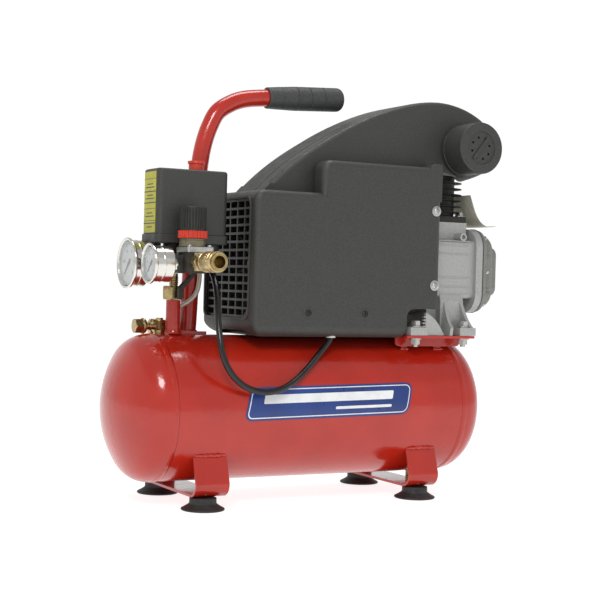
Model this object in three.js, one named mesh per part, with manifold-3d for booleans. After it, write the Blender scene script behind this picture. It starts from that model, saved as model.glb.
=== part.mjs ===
// Direct-drive piston air compressor on a small horizontal receiver. Millimetres, +Z up.
// X runs along the receiver with the pump at +X, and -Y is the side with the air outlet.
// Everything is drawn with the receiver's axis at y = 0 and the ground at z = 0, and the
// whole group is moved at the end so that its origin is the bottom centre of its box.
import * as THREE from "three";
import { mergeVertices } from "three/addons/utils/BufferGeometryUtils.js";
import Module from "manifold-3d";

const wasm = await Module();
wasm.setup();

// ---------------------------------------------------------------- driving dimensions
const GAP = 0.3;                     // clearance between neighbouring pieces
const TANK_RADIUS = 80;
const TANK_WALL = 3;
const TANK_Z = 103.2;                // height of the receiver's axis
const TANK_SEAM_X = 177;             // barrel ends here and the heads begin
const TANK_ENDS = { left: 228, right: 226 };
const HEAD_KNUCKLE = 30;
const BEAD_HEIGHT = 1;
const STRAP_X = [-135, 130];
const FOOT_X = [-140.5, 126];
const FOOT_Y = 62.5;
const FOOT_RADIUS = 23.5;
const FOOT_HEIGHT = 13.2;
const STRAP_WIDTH = 39;
const STRAP_THICKNESS = 3;
const RISER_X = -154;
const RISER_RADIUS = 7.8;
const REGULATOR_Y = -50;
const FITTING_Z = 260;               // gauges and outlet share this height
const OUTLET_X = -155;
const SWITCH = { x0: -188.5, x1: -106, y0: -33, y1: 10.5, base: 282, split: 291.5, top: 361.5 };
const KNOB_X = -136;
const KNOB_Y = -11;
const HANDLE_Y = 22;
const HANDLE_RADIUS = 9.75;
const COWL = { x0: -89, x1: 150, half: 67, bottom: 183.7, low: 343, high: 380, step: -7, stepY: -40 };
const COWL_WALL = 2.5;
const DUCT_FRONT = -38;
const DUCT_BACK = 35;
const DUCT_SEAM = -14;
const DUCT_WALL = 2.5;
const MOTOR_Z = 263;                 // motor and crankshaft axis
const CYLINDER_X = 178;
const BORE_RADIUS = 19.4;
const FIN_RADIUS = 37;
const CYLINDER_TOP = 375;
const CRANK_THROW = 17;
const ROD_LENGTH = 82;
const HEAD_TOP = 395.5;
const FILTER_X = 196;
const FILTER_Z = 405.5;
const SADDLE_Z = 183.6;
const SADDLE_THICKNESS = 3;
const ROUND = 20;                    // sides of an ordinary round piece
const TANK_SIDES = 32;

// ---------------------------------------------------------------- materials
function finish(color, roughness, metalness) {
  return new THREE.MeshStandardMaterial({ color, roughness, metalness });
}
const redPaint = finish(0xb01218, 0.25, 0.1);
const blackPlastic = finish(0x3a3b3c, 0.6, 0);
const blackMetal = finish(0x26241f, 0.45, 0.4);
const redPlastic = finish(0xd81f1c, 0.4, 0);
const rubber = finish(0x151515, 0.8, 0);
const chrome = finish(0xd8d8da, 0.12, 1);
const brass = finish(0xc29a4b, 0.28, 1);
const aluminium = finish(0xb9babb, 0.45, 0.7);
const darkAluminium = finish(0x7d8083, 0.5, 0.7);
const steel = finish(0x8c8f92, 0.4, 0.9);
const copper = finish(0xb87343, 0.3, 1);
const dialWhite = finish(0xe9eef2, 0.6, 0);
const clear = finish(0xdfe8ee, 0.05, 0);
const bonnetGrey = finish(0x77796b, 0.5, 0.3);
const whitePlastic = finish(0xe4e4e0, 0.5, 0);

// ---------------------------------------------------------------- solids and booleans
function signedVolume(position, index) {
  const a = new THREE.Vector3();
  const b = new THREE.Vector3();
  const c = new THREE.Vector3();
  let volume = 0;
  for (let i = 0; i < index.length; i += 3) {
    a.fromBufferAttribute(position, index[i]);
    b.fromBufferAttribute(position, index[i + 1]);
    c.fromBufferAttribute(position, index[i + 2]);
    volume += a.dot(b.cross(c)) / 6;
  }
  return volume;
}

// A closed three.js geometry becomes a solid that can be joined and cut.
function solid(geometry) {
  geometry.deleteAttribute("normal");
  geometry.deleteAttribute("uv");
  const merged = mergeVertices(geometry, 1e-4);
  const position = merged.getAttribute("position");
  let index = Array.from(merged.index.array);
  const kept = [];
  for (let i = 0; i < index.length; i += 3) {
    const [a, b, c] = index.slice(i, i + 3);
    if (a !== b && b !== c && c !== a) kept.push(a, b, c);
  }
  index = signedVolume(position, kept) < 0 ? kept.reverse() : kept;
  return new wasm.Manifold(new wasm.Mesh({
    numProp: 3,
    vertProperties: new Float32Array(position.array),
    triVerts: new Uint32Array(index),
  }));
}

function geometryOf(manifold) {
  const mesh = manifold.getMesh();
  const geometry = new THREE.BufferGeometry();
  geometry.setAttribute("position", new THREE.BufferAttribute(mesh.vertProperties, 3));
  geometry.setIndex(new THREE.BufferAttribute(mesh.triVerts, 1));
  geometry.computeVertexNormals();
  return geometry;
}

const union = (first, ...others) => others.reduce((whole, next) => whole.add(next), first);
const cut = (first, ...others) => others.reduce((whole, next) => whole.subtract(next), first);

// ---------------------------------------------------------------- basic shapes
function box(x0, x1, y0, y1, z0, z1) {
  const geometry = new THREE.BoxGeometry(x1 - x0, y1 - y0, z1 - z0);
  return solid(geometry.translate((x0 + x1) / 2, (y0 + y1) / 2, (z0 + z1) / 2));
}

// Turns geometry built along three.js's Y axis to run along the named axis.
function aim(geometry, axis) {
  if (axis === "z") geometry.rotateX(Math.PI / 2);
  if (axis === "x") geometry.rotateZ(-Math.PI / 2);
  return geometry;
}

// A round bar from start to end along an axis, centred on the point at.
function rod(axis, radius, start, end, at, sides = ROUND, endRadius = radius) {
  const geometry = new THREE.CylinderGeometry(endRadius, radius, end - start, sides);
  geometry.translate(0, (start + end) / 2, 0);
  return solid(aim(geometry, axis).translate(...at));
}

// A profile of [radius, place along the axis] pairs turned about an axis through at.
function turned(axis, profile, at, sides = ROUND) {
  const closed = profile[0][0] > 0 || profile.at(-1)[0] > 0;
  const pairs = closed ? [...profile, profile[0]] : profile;
  const points = pairs.map(([radius, place]) => new THREE.Vector2(radius, place));
  return solid(aim(new THREE.LatheGeometry(points, sides), axis).translate(...at));
}

// A bar with a hexagonal section and a round hole along it.
function hexNut(axis, acrossFlats, start, end, at, hole) {
  const outer = rod(axis, acrossFlats / Math.sqrt(3), start, end, at, 6);
  return hole ? cut(outer, rod(axis, hole, start - 1, end + 1, at, 16)) : outer;
}

function outline(points) {
  return new THREE.Shape(points.map(([a, b]) => new THREE.Vector2(a, b)));
}

function roundedRectangle(a0, a1, b0, b1, radii) {
  const [r1, r2, r3, r4] = Array.isArray(radii) ? radii : [radii, radii, radii, radii];
  const shape = new THREE.Shape();
  shape.moveTo(a0 + r1, b0);
  shape.absarc(a1 - r2, b0 + r2, r2, -Math.PI / 2, 0, false);
  shape.absarc(a1 - r3, b1 - r3, r3, 0, Math.PI / 2, false);
  shape.absarc(a0 + r4, b1 - r4, r4, Math.PI / 2, Math.PI, false);
  shape.absarc(a0 + r1, b0 + r1, r1, Math.PI, Math.PI * 1.5, false);
  return shape;
}

// A flat shape pushed from start to end along an axis, with edges rounded by round.
// Along z the shape is drawn in X and Y, along y in X and Z, and along x in Y and Z.
function pushed(axis, shape, start, end, round = 0, corner = 3) {
  const geometry = new THREE.ExtrudeGeometry(shape, {
    depth: end - start - 2 * round,
    curveSegments: corner,
    bevelEnabled: round > 0,
    bevelThickness: round,
    bevelSize: round,
    bevelOffset: -round,
    bevelSegments: 2,
  });
  geometry.translate(0, 0, round);
  if (axis === "z") geometry.translate(0, 0, start);
  if (axis === "y") geometry.rotateX(Math.PI / 2).translate(0, end, 0);
  if (axis === "x") {
    const turn = new THREE.Matrix4().set(0, 0, 1, start, 1, 0, 0, 0, 0, 1, 0, 0, 0, 0, 0, 1);
    geometry.applyMatrix4(turn);
  }
  return solid(geometry);
}

// The points of a closed outline moved inwards by a wall's thickness.
function inset(points, wall) {
  const turning = THREE.ShapeUtils.isClockWise(points) ? -1 : 1;
  return points.map((point, i) => {
    const before = points.at(i - 1);
    const after = points[(i + 1) % points.length];
    const first = point.clone().sub(before).normalize();
    const second = after.clone().sub(point).normalize();
    const along = first.clone().add(second).normalize();
    const inward = new THREE.Vector2(-along.y, along.x).multiplyScalar(turning);
    const stretch = Math.max(0.5, along.dot(first));
    return point.clone().addScaledVector(inward, wall / stretch);
  });
}

// A round bar along a smooth curve through points.
function tube(points, radius, sides, steps) {
  const extrudePath = new THREE.CatmullRomCurve3(points.map((point) => new THREE.Vector3(...point)));
  const corners = Array.from({ length: sides }, (_, i) => {
    const angle = (i / sides) * Math.PI * 2;
    return [radius * Math.cos(angle), radius * Math.sin(angle)];
  });
  return solid(new THREE.ExtrudeGeometry(outline(corners), { steps, extrudePath, bevelEnabled: false }));
}

const group = new THREE.Group();
function add(name, material, body) {
  const mesh = new THREE.Mesh(geometryOf(body), material);
  mesh.name = name;
  group.add(mesh);
}

// ---------------------------------------------------------------- receiver
const tankBody = (radius) => rod("x", radius, -TANK_SEAM_X, TANK_SEAM_X, [0, 0, TANK_Z], TANK_SIDES);
const tankTop = (y) => TANK_Z + Math.sqrt(TANK_RADIUS ** 2 - y ** 2);
const tankClear = tankBody(TANK_RADIUS + GAP);
const CHECK_X = -162;
const CHECK_Y = 18;
const DRAIN_X = 159;

function tankBarrel() {
  const shell = cut(tankBody(TANK_RADIUS), rod("x", TANK_RADIUS - TANK_WALL, -TANK_SEAM_X - 1,
    TANK_SEAM_X + 1, [0, 0, TANK_Z], TANK_SIDES));
  const above = TANK_Z + TANK_RADIUS + 5;
  const riserPort = rod("z", 5, TANK_Z, above, [RISER_X, 0, 0], 16);
  const checkPort = rod("z", 5, TANK_Z, above, [CHECK_X, CHECK_Y, 0], 16);
  const drainPort = rod("z", 3, 0, TANK_Z, [DRAIN_X, 0, 0], 12);
  return cut(shell, riserPort, checkPort, drainPort);
}

// Torispherical head: short skirt with the weld bead on it, knuckle arc, then a flatter crown.
function tankHead(side, end) {
  const skirt = 183;
  const depth = end - skirt;
  const knuckleR = TANK_RADIUS - HEAD_KNUCKLE;
  const crown = (knuckleR ** 2 + depth ** 2 - HEAD_KNUCKLE ** 2) / (2 * (depth - HEAD_KNUCKLE));
  const crownX = end - crown;
  const meet = Math.atan2(knuckleR, skirt - crownX);
  const profile = [[TANK_RADIUS - TANK_WALL, TANK_SEAM_X + GAP]];
  profile.push([TANK_RADIUS + BEAD_HEIGHT, TANK_SEAM_X + GAP]);
  profile.push([TANK_RADIUS + BEAD_HEIGHT, skirt + 1]);
  for (let i = 0; i <= 3; i += 1) {
    const angle = Math.PI / 2 + (meet - Math.PI / 2) * (i / 3);
    const out = i === 0 ? 2 : 0;
    profile.push([knuckleR + HEAD_KNUCKLE * Math.sin(angle),
      skirt + out + HEAD_KNUCKLE * Math.cos(angle)]);
  }
  for (let i = 1; i <= 2; i += 1) {
    const angle = meet * (1 - i / 2);
    profile.push([crown * Math.sin(angle), crownX + crown * Math.cos(angle)]);
  }
  profile.at(-1)[0] = 0;
  profile.push([0, end - TANK_WALL]);
  profile.push([knuckleR, skirt + HEAD_KNUCKLE - 8]);
  const sided = profile.map(([radius, x]) => [radius, x * side]);
  return turnedLoop("x", sided, [0, 0, TANK_Z], TANK_SIDES);
}

// A profile that touches the axis in the middle of its list is started there instead.
function turnedLoop(axis, profile, at, sides) {
  const first = profile.findIndex(([radius]) => radius === 0);
  const order = [...profile.slice(first + 1), ...profile.slice(0, first + 1)];
  const points = order.map(([radius, place]) => new THREE.Vector2(radius, place));
  return solid(aim(new THREE.LatheGeometry(points, sides), axis).translate(...at));
}

add("tank_barrel", redPaint, tankBarrel());
add("tank_head_left", redPaint, tankHead(-1, TANK_ENDS.left));
add("tank_head_right", redPaint, tankHead(1, TANK_ENDS.right));

// ---------------------------------------------------------------- brackets and feet
// A bent strip that runs under the receiver from one side to the other.
function footBracket(x) {
  const low = 13.5;
  const top = [[-64, 60], [-76, 27], [-73, 19], [-65, low]];
  const outer = [...top, ...top.map(([y, z]) => [-y, z]).reverse()];
  const points = outer.map(([y, z]) => new THREE.Vector2(y, z));
  const inner = inset(points, STRAP_THICKNESS);
  inner[0].set(-64 + STRAP_THICKNESS, 64);
  inner[inner.length - 1].set(64 - STRAP_THICKNESS, 64);
  const strip = new THREE.Shape([...points, ...inner.reverse()]);
  const strap = pushed("x", strip, x - STRAP_WIDTH / 2, x + STRAP_WIDTH / 2);
  return cut(strap, tankClear);
}

function rubberFoot(x, y) {
  const profile = [[0, 0], [FOOT_RADIUS, 0], [FOOT_RADIUS, 2.5], [14.5, 7.5]];
  profile.push([14.5, FOOT_HEIGHT], [0, FOOT_HEIGHT]);
  return turned("z", profile, [x, y, 0]);
}

for (const [i, end] of ["left", "right"].entries()) {
  add(`foot_bracket_${end}`, redPaint, footBracket(STRAP_X[i]));
  add(`rubber_foot_front_${end}`, rubber, rubberFoot(FOOT_X[i], -FOOT_Y));
  add(`rubber_foot_rear_${end}`, rubber, rubberFoot(FOOT_X[i], FOOT_Y));
}

// ---------------------------------------------------------------- drain valve under the receiver
const DRAIN_KEY_Z = 17;
add("drain_valve_body", brass, union(
  rod("z", 5, DRAIN_KEY_Z - 4, TANK_Z - TANK_RADIUS - GAP, [DRAIN_X, 0, 0], 12),
  rod("y", 3, -9, 0, [DRAIN_X, 0, DRAIN_KEY_Z], 12),
));
add("drain_valve_key", brass, union(
  rod("y", 2.5, -14, -9.3, [DRAIN_X, 0, DRAIN_KEY_Z], 12),
  box(DRAIN_X - 6.5, DRAIN_X + 6.5, -16, -13.5, DRAIN_KEY_Z - 2.5, DRAIN_KEY_Z + 2.5),
));

// ---------------------------------------------------------------- riser and pressure manifold
const NUT_BOTTOM = 221;
const NUT_TOP = 236;
const MANIFOLD_BOTTOM = 250;
const MANIFOLD_TOP = 272;

add("riser_pipe", redPaint, turned("z", [[5, 183.5], [11, 183.5], [RISER_RADIUS, 189],
  [RISER_RADIUS, NUT_BOTTOM - GAP], [5, NUT_BOTTOM - GAP]], [RISER_X, 0, 0], 24));
add("riser_nipple", brass, cut(
  union(hexNut("z", 21.5, NUT_BOTTOM, NUT_TOP, [RISER_X, 0, 0], 0),
    rod("z", 4.5, NUT_BOTTOM, MANIFOLD_BOTTOM - GAP, [RISER_X, 0, 0], 16)),
  rod("z", 3, NUT_BOTTOM - 1, MANIFOLD_BOTTOM, [RISER_X, 0, 0], 12),
));
add("manifold", blackMetal, union(
  rod("z", 13, MANIFOLD_BOTTOM, SWITCH.base - GAP, [RISER_X, 0, 0]),
  box(-168, -142, REGULATOR_Y, 0, MANIFOLD_BOTTOM + 1, MANIFOLD_TOP - 1),
  rod("z", 16, MANIFOLD_BOTTOM, MANIFOLD_TOP - GAP, [OUTLET_X, REGULATOR_Y, 0]),
  box(-172, -160, -8, 8, 251, 269),
  box(-172, -160, REGULATOR_Y - 8, REGULATOR_Y + 8, 251, 269),
));
add("switch_bracket", blackMetal, pushed("y", outline([[-156, 222], [-151, 222],
  [-151, 232.5], [-133, 252.5], [-133, 281.7], [-136.5, 281.7], [-136.5, 254.5],
  [-156, 234]]), -20, -13.5));

// ---------------------------------------------------------------- regulator
const REG_AT = [OUTLET_X, REGULATOR_Y, 0];
const FLANGE_TOP = 278;
const BONNET_TOP = 286.7;
const LOCK_TOP = 295;
const REG_KNOB_TOP = 320.5;
const SPINDLE = 5;

add("regulator_flange", steel, cut(
  pushed("z", roundedRectangle(-167, -136.5, -66, -34, 2.5), MANIFOLD_TOP, FLANGE_TOP),
  rod("z", 6, MANIFOLD_TOP - 1, FLANGE_TOP + 1, REG_AT, 16),
));
add("regulator_bonnet", bonnetGrey, turned("z", [[6, FLANGE_TOP + GAP], [14, FLANGE_TOP + GAP],
  [14, BONNET_TOP], [6, BONNET_TOP]], REG_AT));
add("regulator_lock_ring", redPlastic, turned("z", [[6, 287], [15.65, 287], [15.65, LOCK_TOP],
  [6, LOCK_TOP]], REG_AT));
add("regulator_knob", blackPlastic, turned("z", [[0, 274], [SPINDLE, 274],
  [SPINDLE, LOCK_TOP + GAP], [14.5, LOCK_TOP + GAP], [14.5, REG_KNOB_TOP - 1],
  [13.5, REG_KNOB_TOP], [0, REG_KNOB_TOP]], REG_AT));

// ---------------------------------------------------------------- pressure gauges
// Each faces -X: a deep can with a rim, a dial, a needle on a spindle, and a lens.
function gauge(name, y, radius, front, back) {
  const at = [0, y, FITTING_Z - 1];
  const can = radius - 2.5;
  const bore = can - 1;
  add(`${name}_gauge_case`, chrome, union(
    turned("x", [[0, back], [can, back], [can, front + 4], [radius, front + 2.5],
      [radius, front], [bore, front], [bore, back - 2], [0, back - 2]], at),
    hexNut("x", 11, back - 1, -172 - GAP, at, 0),
  ));
  const dialX = front + 4;
  add(`${name}_gauge_dial`, dialWhite, turned("x", [[1.8, dialX], [bore - 0.5, dialX],
    [bore - 0.5, dialX + 1], [1.8, dialX + 1]], at));
  const zero = new THREE.Vector2(Math.SQRT1_2, -Math.SQRT1_2);
  const tip = zero.clone().multiplyScalar(bore * 0.72);
  const tail = zero.clone().multiplyScalar(-bore * 0.25);
  const side = new THREE.Vector2(Math.SQRT1_2, Math.SQRT1_2).multiplyScalar(1.2);
  const hand = [tip, tail.clone().add(side), tail.clone().sub(side)];
  const flat = outline(hand.map((point) => [point.x + y, point.y + at[2]]));
  add(`${name}_gauge_needle`, blackMetal, union(
    pushed("x", flat, dialX - 1.2, dialX - 0.5),
    rod("x", 1.3, dialX - 1.4, dialX + 3, at, 12),
  ));
  add(`${name}_gauge_lens`, clear, rod("x", bore - 0.4, front + 0.6, front + 1.8, at));
}
gauge("tank", 0, 27.8, -210.4, -190.9);
gauge("outlet", REGULATOR_Y, 21.6, -205, -181);

// ---------------------------------------------------------------- quick coupler
const COUPLER_AT = [OUTLET_X, 0, FITTING_Z + 2];
const COUPLER_FRONT = -120;
add("coupler_body", brass, union(
  turnedLoop("y", [[5.25, COUPLER_FRONT + 24], [5.25, COUPLER_FRONT], [9, COUPLER_FRONT],
    [9, -117.2], [7.6, -117.2], [7.6, -82.5], [9.5, -82.5], [9.5, REGULATOR_Y - 16.4],
    [0, REGULATOR_Y - 16.4], [0, COUPLER_FRONT + 24]], COUPLER_AT, 20),
  hexNut("y", 19, -80, REGULATOR_Y - 16.4, COUPLER_AT, 0),
));
add("coupler_sleeve", brass, turned("y", [[8, -116.9], [10, -116.9], [11, -115.5], [11, -89],
  [10, -88], [8, -88]], COUPLER_AT, 24));

// ---------------------------------------------------------------- pressure switch
const switchOutline = (grow, radius) => roundedRectangle(SWITCH.x0 - grow, SWITCH.x1 + grow,
  SWITCH.y0 - grow, SWITCH.y1 + grow, radius);
const GLAND_X = -121;
const GLAND_Y = -22;

add("switch_base", blackPlastic, cut(
  pushed("z", switchOutline(1.2, 6), SWITCH.base, SWITCH.split),
  pushed("z", switchOutline(-3, 3), SWITCH.base + 4, SWITCH.split + 1),
));
add("switch_cover", blackPlastic, cut(
  pushed("z", switchOutline(0, 6), SWITCH.split + GAP - 4, SWITCH.top, 3)
    .subtract(box(-300, 0, -100, 100, 200, SWITCH.split + GAP)),
  pushed("z", switchOutline(-2.2, 4), SWITCH.split - 1, SWITCH.top - 2.2),
  rod("z", 8.6, SWITCH.split, SWITCH.top + 5, [KNOB_X, KNOB_Y, 0], 24),
));
add("switch_contact_block", blackPlastic, box(-178, -118, -26, 4, 286.4, 318));
add("switch_knob", redPlastic, turned("z", [[0, 328], [4, 328], [4, 350], [8, 350], [8, 369],
  [9.2, 369.4], [9.2, 372.5], [0, 372.5]], [KNOB_X, KNOB_Y, 0], 24));
add("motor_cable_gland", rubber, turned("z", [[4.1, 268], [5.2, 268], [7.5, 275], [9, 276],
  [9, SWITCH.base - GAP], [4.1, SWITCH.base - GAP]], [GLAND_X, GLAND_Y, 0], 20));
add("mains_cable_gland", rubber, turned("z", [[3.8, 270], [6, 270], [8, 276],
  [8, SWITCH.base - GAP], [3.8, SWITCH.base - GAP]], [-178, 2, 0], 16));

// ---------------------------------------------------------------- carrying handle
// The post leans a little, bends over through a quarter turn and runs level into the grip.
const GRIP_START = [-36, HANDLE_Y, 453.6];
const GRIP_END = [62, HANDLE_Y, 459.6];
const handleRoute = [[-127.2, HANDLE_Y, 176], [-124.8, HANDLE_Y, 240], [-121.6, HANDLE_Y, 310],
  [-117, HANDLE_Y, 372], [-112.6, HANDLE_Y, 396.5], [-106, HANDLE_Y, 416],
  [-97.2, HANDLE_Y, 432], [-82.5, HANDLE_Y, 442.5], [-66, HANDLE_Y, 449.2],
  GRIP_START, [-15, HANDLE_Y, 454.9], [20, HANDLE_Y, 457], [46, HANDLE_Y, 458.6]];

function handleFoot() {
  const shell = cut(tankBody(TANK_RADIUS + 3.5), tankClear);
  return shell.intersect(box(-143, -109, 6, 39, 150, 200));
}
const handleBar = cut(tube(handleRoute, HANDLE_RADIUS, 12, 28), tankClear);
add("handle_tube", redPaint, union(handleBar, handleFoot()));

function handleGrip() {
  const start = new THREE.Vector3(...GRIP_START);
  const end = new THREE.Vector3(...GRIP_END);
  const length = start.distanceTo(end);
  const hole = HANDLE_RADIUS + 0.9;
  const profile = [[0, length], [9, length], [12.9, length - 2.5], [14, length - 8],
    [14, length * 0.35], [12.4, 0], [hole, 0], [hole, length - 15], [0, length - 15]];
  const points = profile.map(([radius, place]) => new THREE.Vector2(radius, place));
  const geometry = new THREE.LatheGeometry(points, 24);
  const turn = new THREE.Quaternion().setFromUnitVectors(new THREE.Vector3(0, 1, 0),
    end.clone().sub(start).normalize());
  return solid(geometry.applyQuaternion(turn).translate(...GRIP_START));
}
add("handle_grip", rubber, handleGrip());

// ---------------------------------------------------------------- check valve, safety valve, pipes
const CHECK_BASE = tankTop(CHECK_Y - 8) + 0.5;
const CHECK_TOP = 200.5;
const BRANCH_Z = 191.3;
add("check_valve", brass, union(
  rod("z", 6.5, CHECK_BASE, CHECK_TOP - 4, [CHECK_X, CHECK_Y, 0], 16),
  hexNut("z", 14, 187, CHECK_TOP - 2, [CHECK_X, CHECK_Y, 0], 0),
  rod("z", 4, CHECK_TOP - 3, CHECK_TOP, [CHECK_X, CHECK_Y, 0], 12),
  rod("y", 6, CHECK_Y, CHECK_Y + 12, [CHECK_X, 0, BRANCH_Z], 12),
  rod("x", 4, -180, -145, [0, CHECK_Y, BRANCH_Z], 12),
  hexNut("x", 15, -192, -179, [0, CHECK_Y, BRANCH_Z], 0),
));
add("unloader_tube", aluminium, tube([[-120.5, 8, SWITCH.base - GAP], [-120.5, 8, 262],
  [-120, 8, 243], [-123, 8.5, 229], [-131, 10, 219.5], [-139.5, 14, 213.5],
  [-145.5, 17, 207], [-148.2, CHECK_Y, 201], [-148.5, CHECK_Y, 196]], 2.6, 8, 24));
const PORT_X = 206;
const PORT_Z = 388;
add("delivery_pipe", copper, tube([[CHECK_X, CHECK_Y + 12.7, BRANCH_Z], [CHECK_X, 38, BRANCH_Z], [-160, 46, 188],
  [-152, 56, 178], [-132, 59, 171], [-60, 59, 169.5], [60, 59, 169.5], [180, 59, 169.5],
  [206, 60, 172], [216, 61, 186], [217, 61, 230], [217, 60, 330], [216, 59, 368],
  [212, 54, 384], [PORT_X, 43, PORT_Z], [PORT_X, 30.5, PORT_Z]], 5, 8, 40));

// ---------------------------------------------------------------- motor cowl
// A deep lower box covers the motor, and its front wall rises into a shallow upper box.
const lowBox = (wall) => roundedRectangle(COWL.x0 + wall, COWL.x1 - wall, COWL.bottom + wall,
  COWL.low - wall, [15 - wall, 8 - wall, 8 - wall, 12 - wall]);
const highBox = (wall) => roundedRectangle(COWL.step + wall, COWL.x1 - wall,
  COWL.bottom + 80, COWL.high - wall, [8 - wall, 8 - wall, 10 - wall, 12 - wall]);
const endOn = (wall) => roundedRectangle(-COWL.half + wall, COWL.half - wall,
  COWL.bottom + wall, COWL.high + 20, [12 - wall, 30 - wall, 8 - wall, 8 - wall]);

function cowlSolid(wall) {
  const low = pushed("y", lowBox(wall), -COWL.half + wall, COWL.half - wall, 7 - wall);
  const high = pushed("y", highBox(wall), -COWL.half + wall, COWL.stepY - wall, 7 - wall);
  const ends = pushed("x", endOn(wall), COWL.x0 - 5, COWL.x1 + 5);
  return low.add(high).intersect(ends);
}

const GRILLE = { y0: -53, y1: 60, z0: 203, z1: 334, columns: 3, rows: 14, bar: 2.6 };
const PUMP_HOLE_Y = 58;
const BUSH_X = 13.5;                 // the cable enters the underside of the cowl here
const BUSH_Y = -55;
function cowlShell() {
  const window = box(COWL.x0 - 5, COWL.x0 + 12, GRILLE.y0, GRILLE.y1, GRILLE.z0, GRILLE.z1);
  const leftGap = box(COWL.x0 - 5, COWL.x0 + 20, -48, 36, COWL.bottom - 5, COWL.bottom + 5);
  const footGap = (y0, y1) => box(105, COWL.x1 + 5, y0, y1, COWL.bottom - 5, 217);
  const pumpSide = box(COWL.x1 - 12, COWL.x1 + 5, -PUMP_HOLE_Y, PUMP_HOLE_Y,
    COWL.bottom - 5, COWL.low - 12);
  const finSpace = rod("z", FIN_RADIUS + 2, 300, COWL.high, [CYLINDER_X, 0, 0]);
  const ductMouth = box(-40, 120, DUCT_FRONT + 8, DUCT_BACK - 8, COWL.low - 8, COWL.low + 5);
  const cableHole = rod("z", 5.9, COWL.bottom - 5, COWL.bottom + 8, [BUSH_X, BUSH_Y, 0], 16);
  const overSaddle = box(104, COWL.x1 + 5, -80, 80, COWL.bottom - 5,
    SADDLE_Z + SADDLE_THICKNESS + GAP);
  return cut(cowlSolid(0), cowlSolid(COWL_WALL), window, leftGap, footGap(-80, -36),
    footGap(36, 80), pumpSide, finSpace, ductMouth, cableHole, overSaddle);
}
const cowl = cowlShell();
add("cowl_front", blackPlastic, cowl.subtract(box(-200, 300, -GAP / 2, 200, 100, 500)));
add("cowl_rear", blackPlastic, cowl.subtract(box(-200, 300, -200, GAP / 2, 100, 500)));

// The intake grille stands just inside its window in the end of the cowl: a frame with bars.
function grille() {
  const [x0, x1] = [COWL.x0 + 3, COWL.x0 + 5.5];
  const inner = 0.4;
  const rim = 3.6;
  const frame = box(x0, x1, GRILLE.y0 + inner, GRILLE.y1 - inner, GRILLE.z0 + inner,
    GRILLE.z1 - inner);
  const low = [GRILLE.y0 + rim, GRILLE.z0 + rim];
  const high = [GRILLE.y1 - rim, GRILLE.z1 - rim];
  let plate = cut(frame, box(x0 - 1, x1 + 1, low[0], high[0], low[1], high[1]));
  for (let i = 1; i < GRILLE.columns; i += 1) {
    const y = low[0] + (i * (high[0] - low[0])) / GRILLE.columns;
    plate = plate.add(box(x0, x1, y - GRILLE.bar / 2, y + GRILLE.bar / 2, low[1] - 1, high[1] + 1));
  }
  for (let i = 1; i < GRILLE.rows; i += 1) {
    const z = low[1] + (i * (high[1] - low[1])) / GRILLE.rows;
    plate = plate.add(box(x0, x1, low[0] - 1, high[0] + 1, z - GRILLE.bar / 2, z + GRILLE.bar / 2));
  }
  return plate;
}
add("intake_grille", blackPlastic, grille());

// ---------------------------------------------------------------- cooling duct
// A long hump that carries the fan's air from the cowl to the cylinder head.
function ductPoints() {
  const shape = new THREE.Shape();
  shape.moveTo(-66, COWL.low + 0.8);
  shape.lineTo(138, COWL.low + 0.8);
  shape.lineTo(152, 362);
  shape.lineTo(190, 366);
  shape.bezierCurveTo(214, 374, 247, 380, 249, 408);
  shape.bezierCurveTo(249, 436, 208, 460, 163, 460);
  shape.bezierCurveTo(112, 459, 50, 430, 12, 405.5);
  shape.bezierCurveTo(-24, 384, -48, 364, -66, COWL.low + 0.8);
  return shape.getPoints(5).slice(0, -1);
}

function ductShell() {
  const points = ductPoints();
  const outer = pushed("y", new THREE.Shape(points), DUCT_FRONT, DUCT_BACK, 6);
  const hollow = pushed("y", new THREE.Shape(inset(points, DUCT_WALL)),
    DUCT_FRONT + DUCT_WALL, DUCT_BACK - DUCT_WALL, 4);
  const mouth = box(-40, 120, DUCT_FRONT + 8, DUCT_BACK - 8, COWL.low - 5, COWL.low + 6);
  const headMouth = rod("z", FIN_RADIUS + 2, 330, CYLINDER_TOP + 3, [CYLINDER_X, 0, 0]);
  const intake = rod("y", 13, DUCT_FRONT - 5, 0, [FILTER_X, 0, FILTER_Z], 20);
  const pipeHole = rod("y", 7, 0, DUCT_BACK + 5, [PORT_X, 0, PORT_Z], 16);
  const frontWall = box(-100, 300, COWL.stepY - 30, COWL.stepY + GAP, 300, COWL.high + 0.5);
  return cut(outer, hollow, mouth, headMouth, intake, pipeHole, frontWall);
}
const duct = ductShell();
add("duct_front", blackPlastic, duct.subtract(box(-200, 300, DUCT_SEAM - GAP / 2, 200, 300, 500)));
add("duct_rear", blackPlastic, duct.subtract(box(-200, 300, -200, DUCT_SEAM + GAP / 2, 300, 500)));

// ---------------------------------------------------------------- intake filter
const FILTER_AT = [FILTER_X, 0, FILTER_Z];
add("air_filter", blackPlastic, turned("y", [[0, -75.5], [18.6, -75.5], [18.6, -77], [28.5, -77],
  [30, -75.5], [30, -42], [31, -41], [31, DUCT_FRONT - GAP], [10, DUCT_FRONT - GAP], [10, -41],
  [27, -41], [27, -72], [0, -72]], FILTER_AT));
add("intake_elbow", darkAluminium, union(
  rod("z", 9, HEAD_TOP + GAP, 412, [FILTER_X, 0, 0], 16),
  rod("y", 9, -46, 0, FILTER_AT, 16),
));

// ---------------------------------------------------------------- pump
// Crankcase: motor bell, body, top block and round flange in one casting, on four feet.
const CRANK_AT = [0, 0, MOTOR_Z];
const COVER_X = 222;
const FLANGE_HALF = 50;
const BLOCK_HALF = 32;               // half width of the square block under the cylinder
const FOOT_BASE = SADDLE_Z + SADDLE_THICKNESS + GAP;
const FOOT_TOP = 196;

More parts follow.
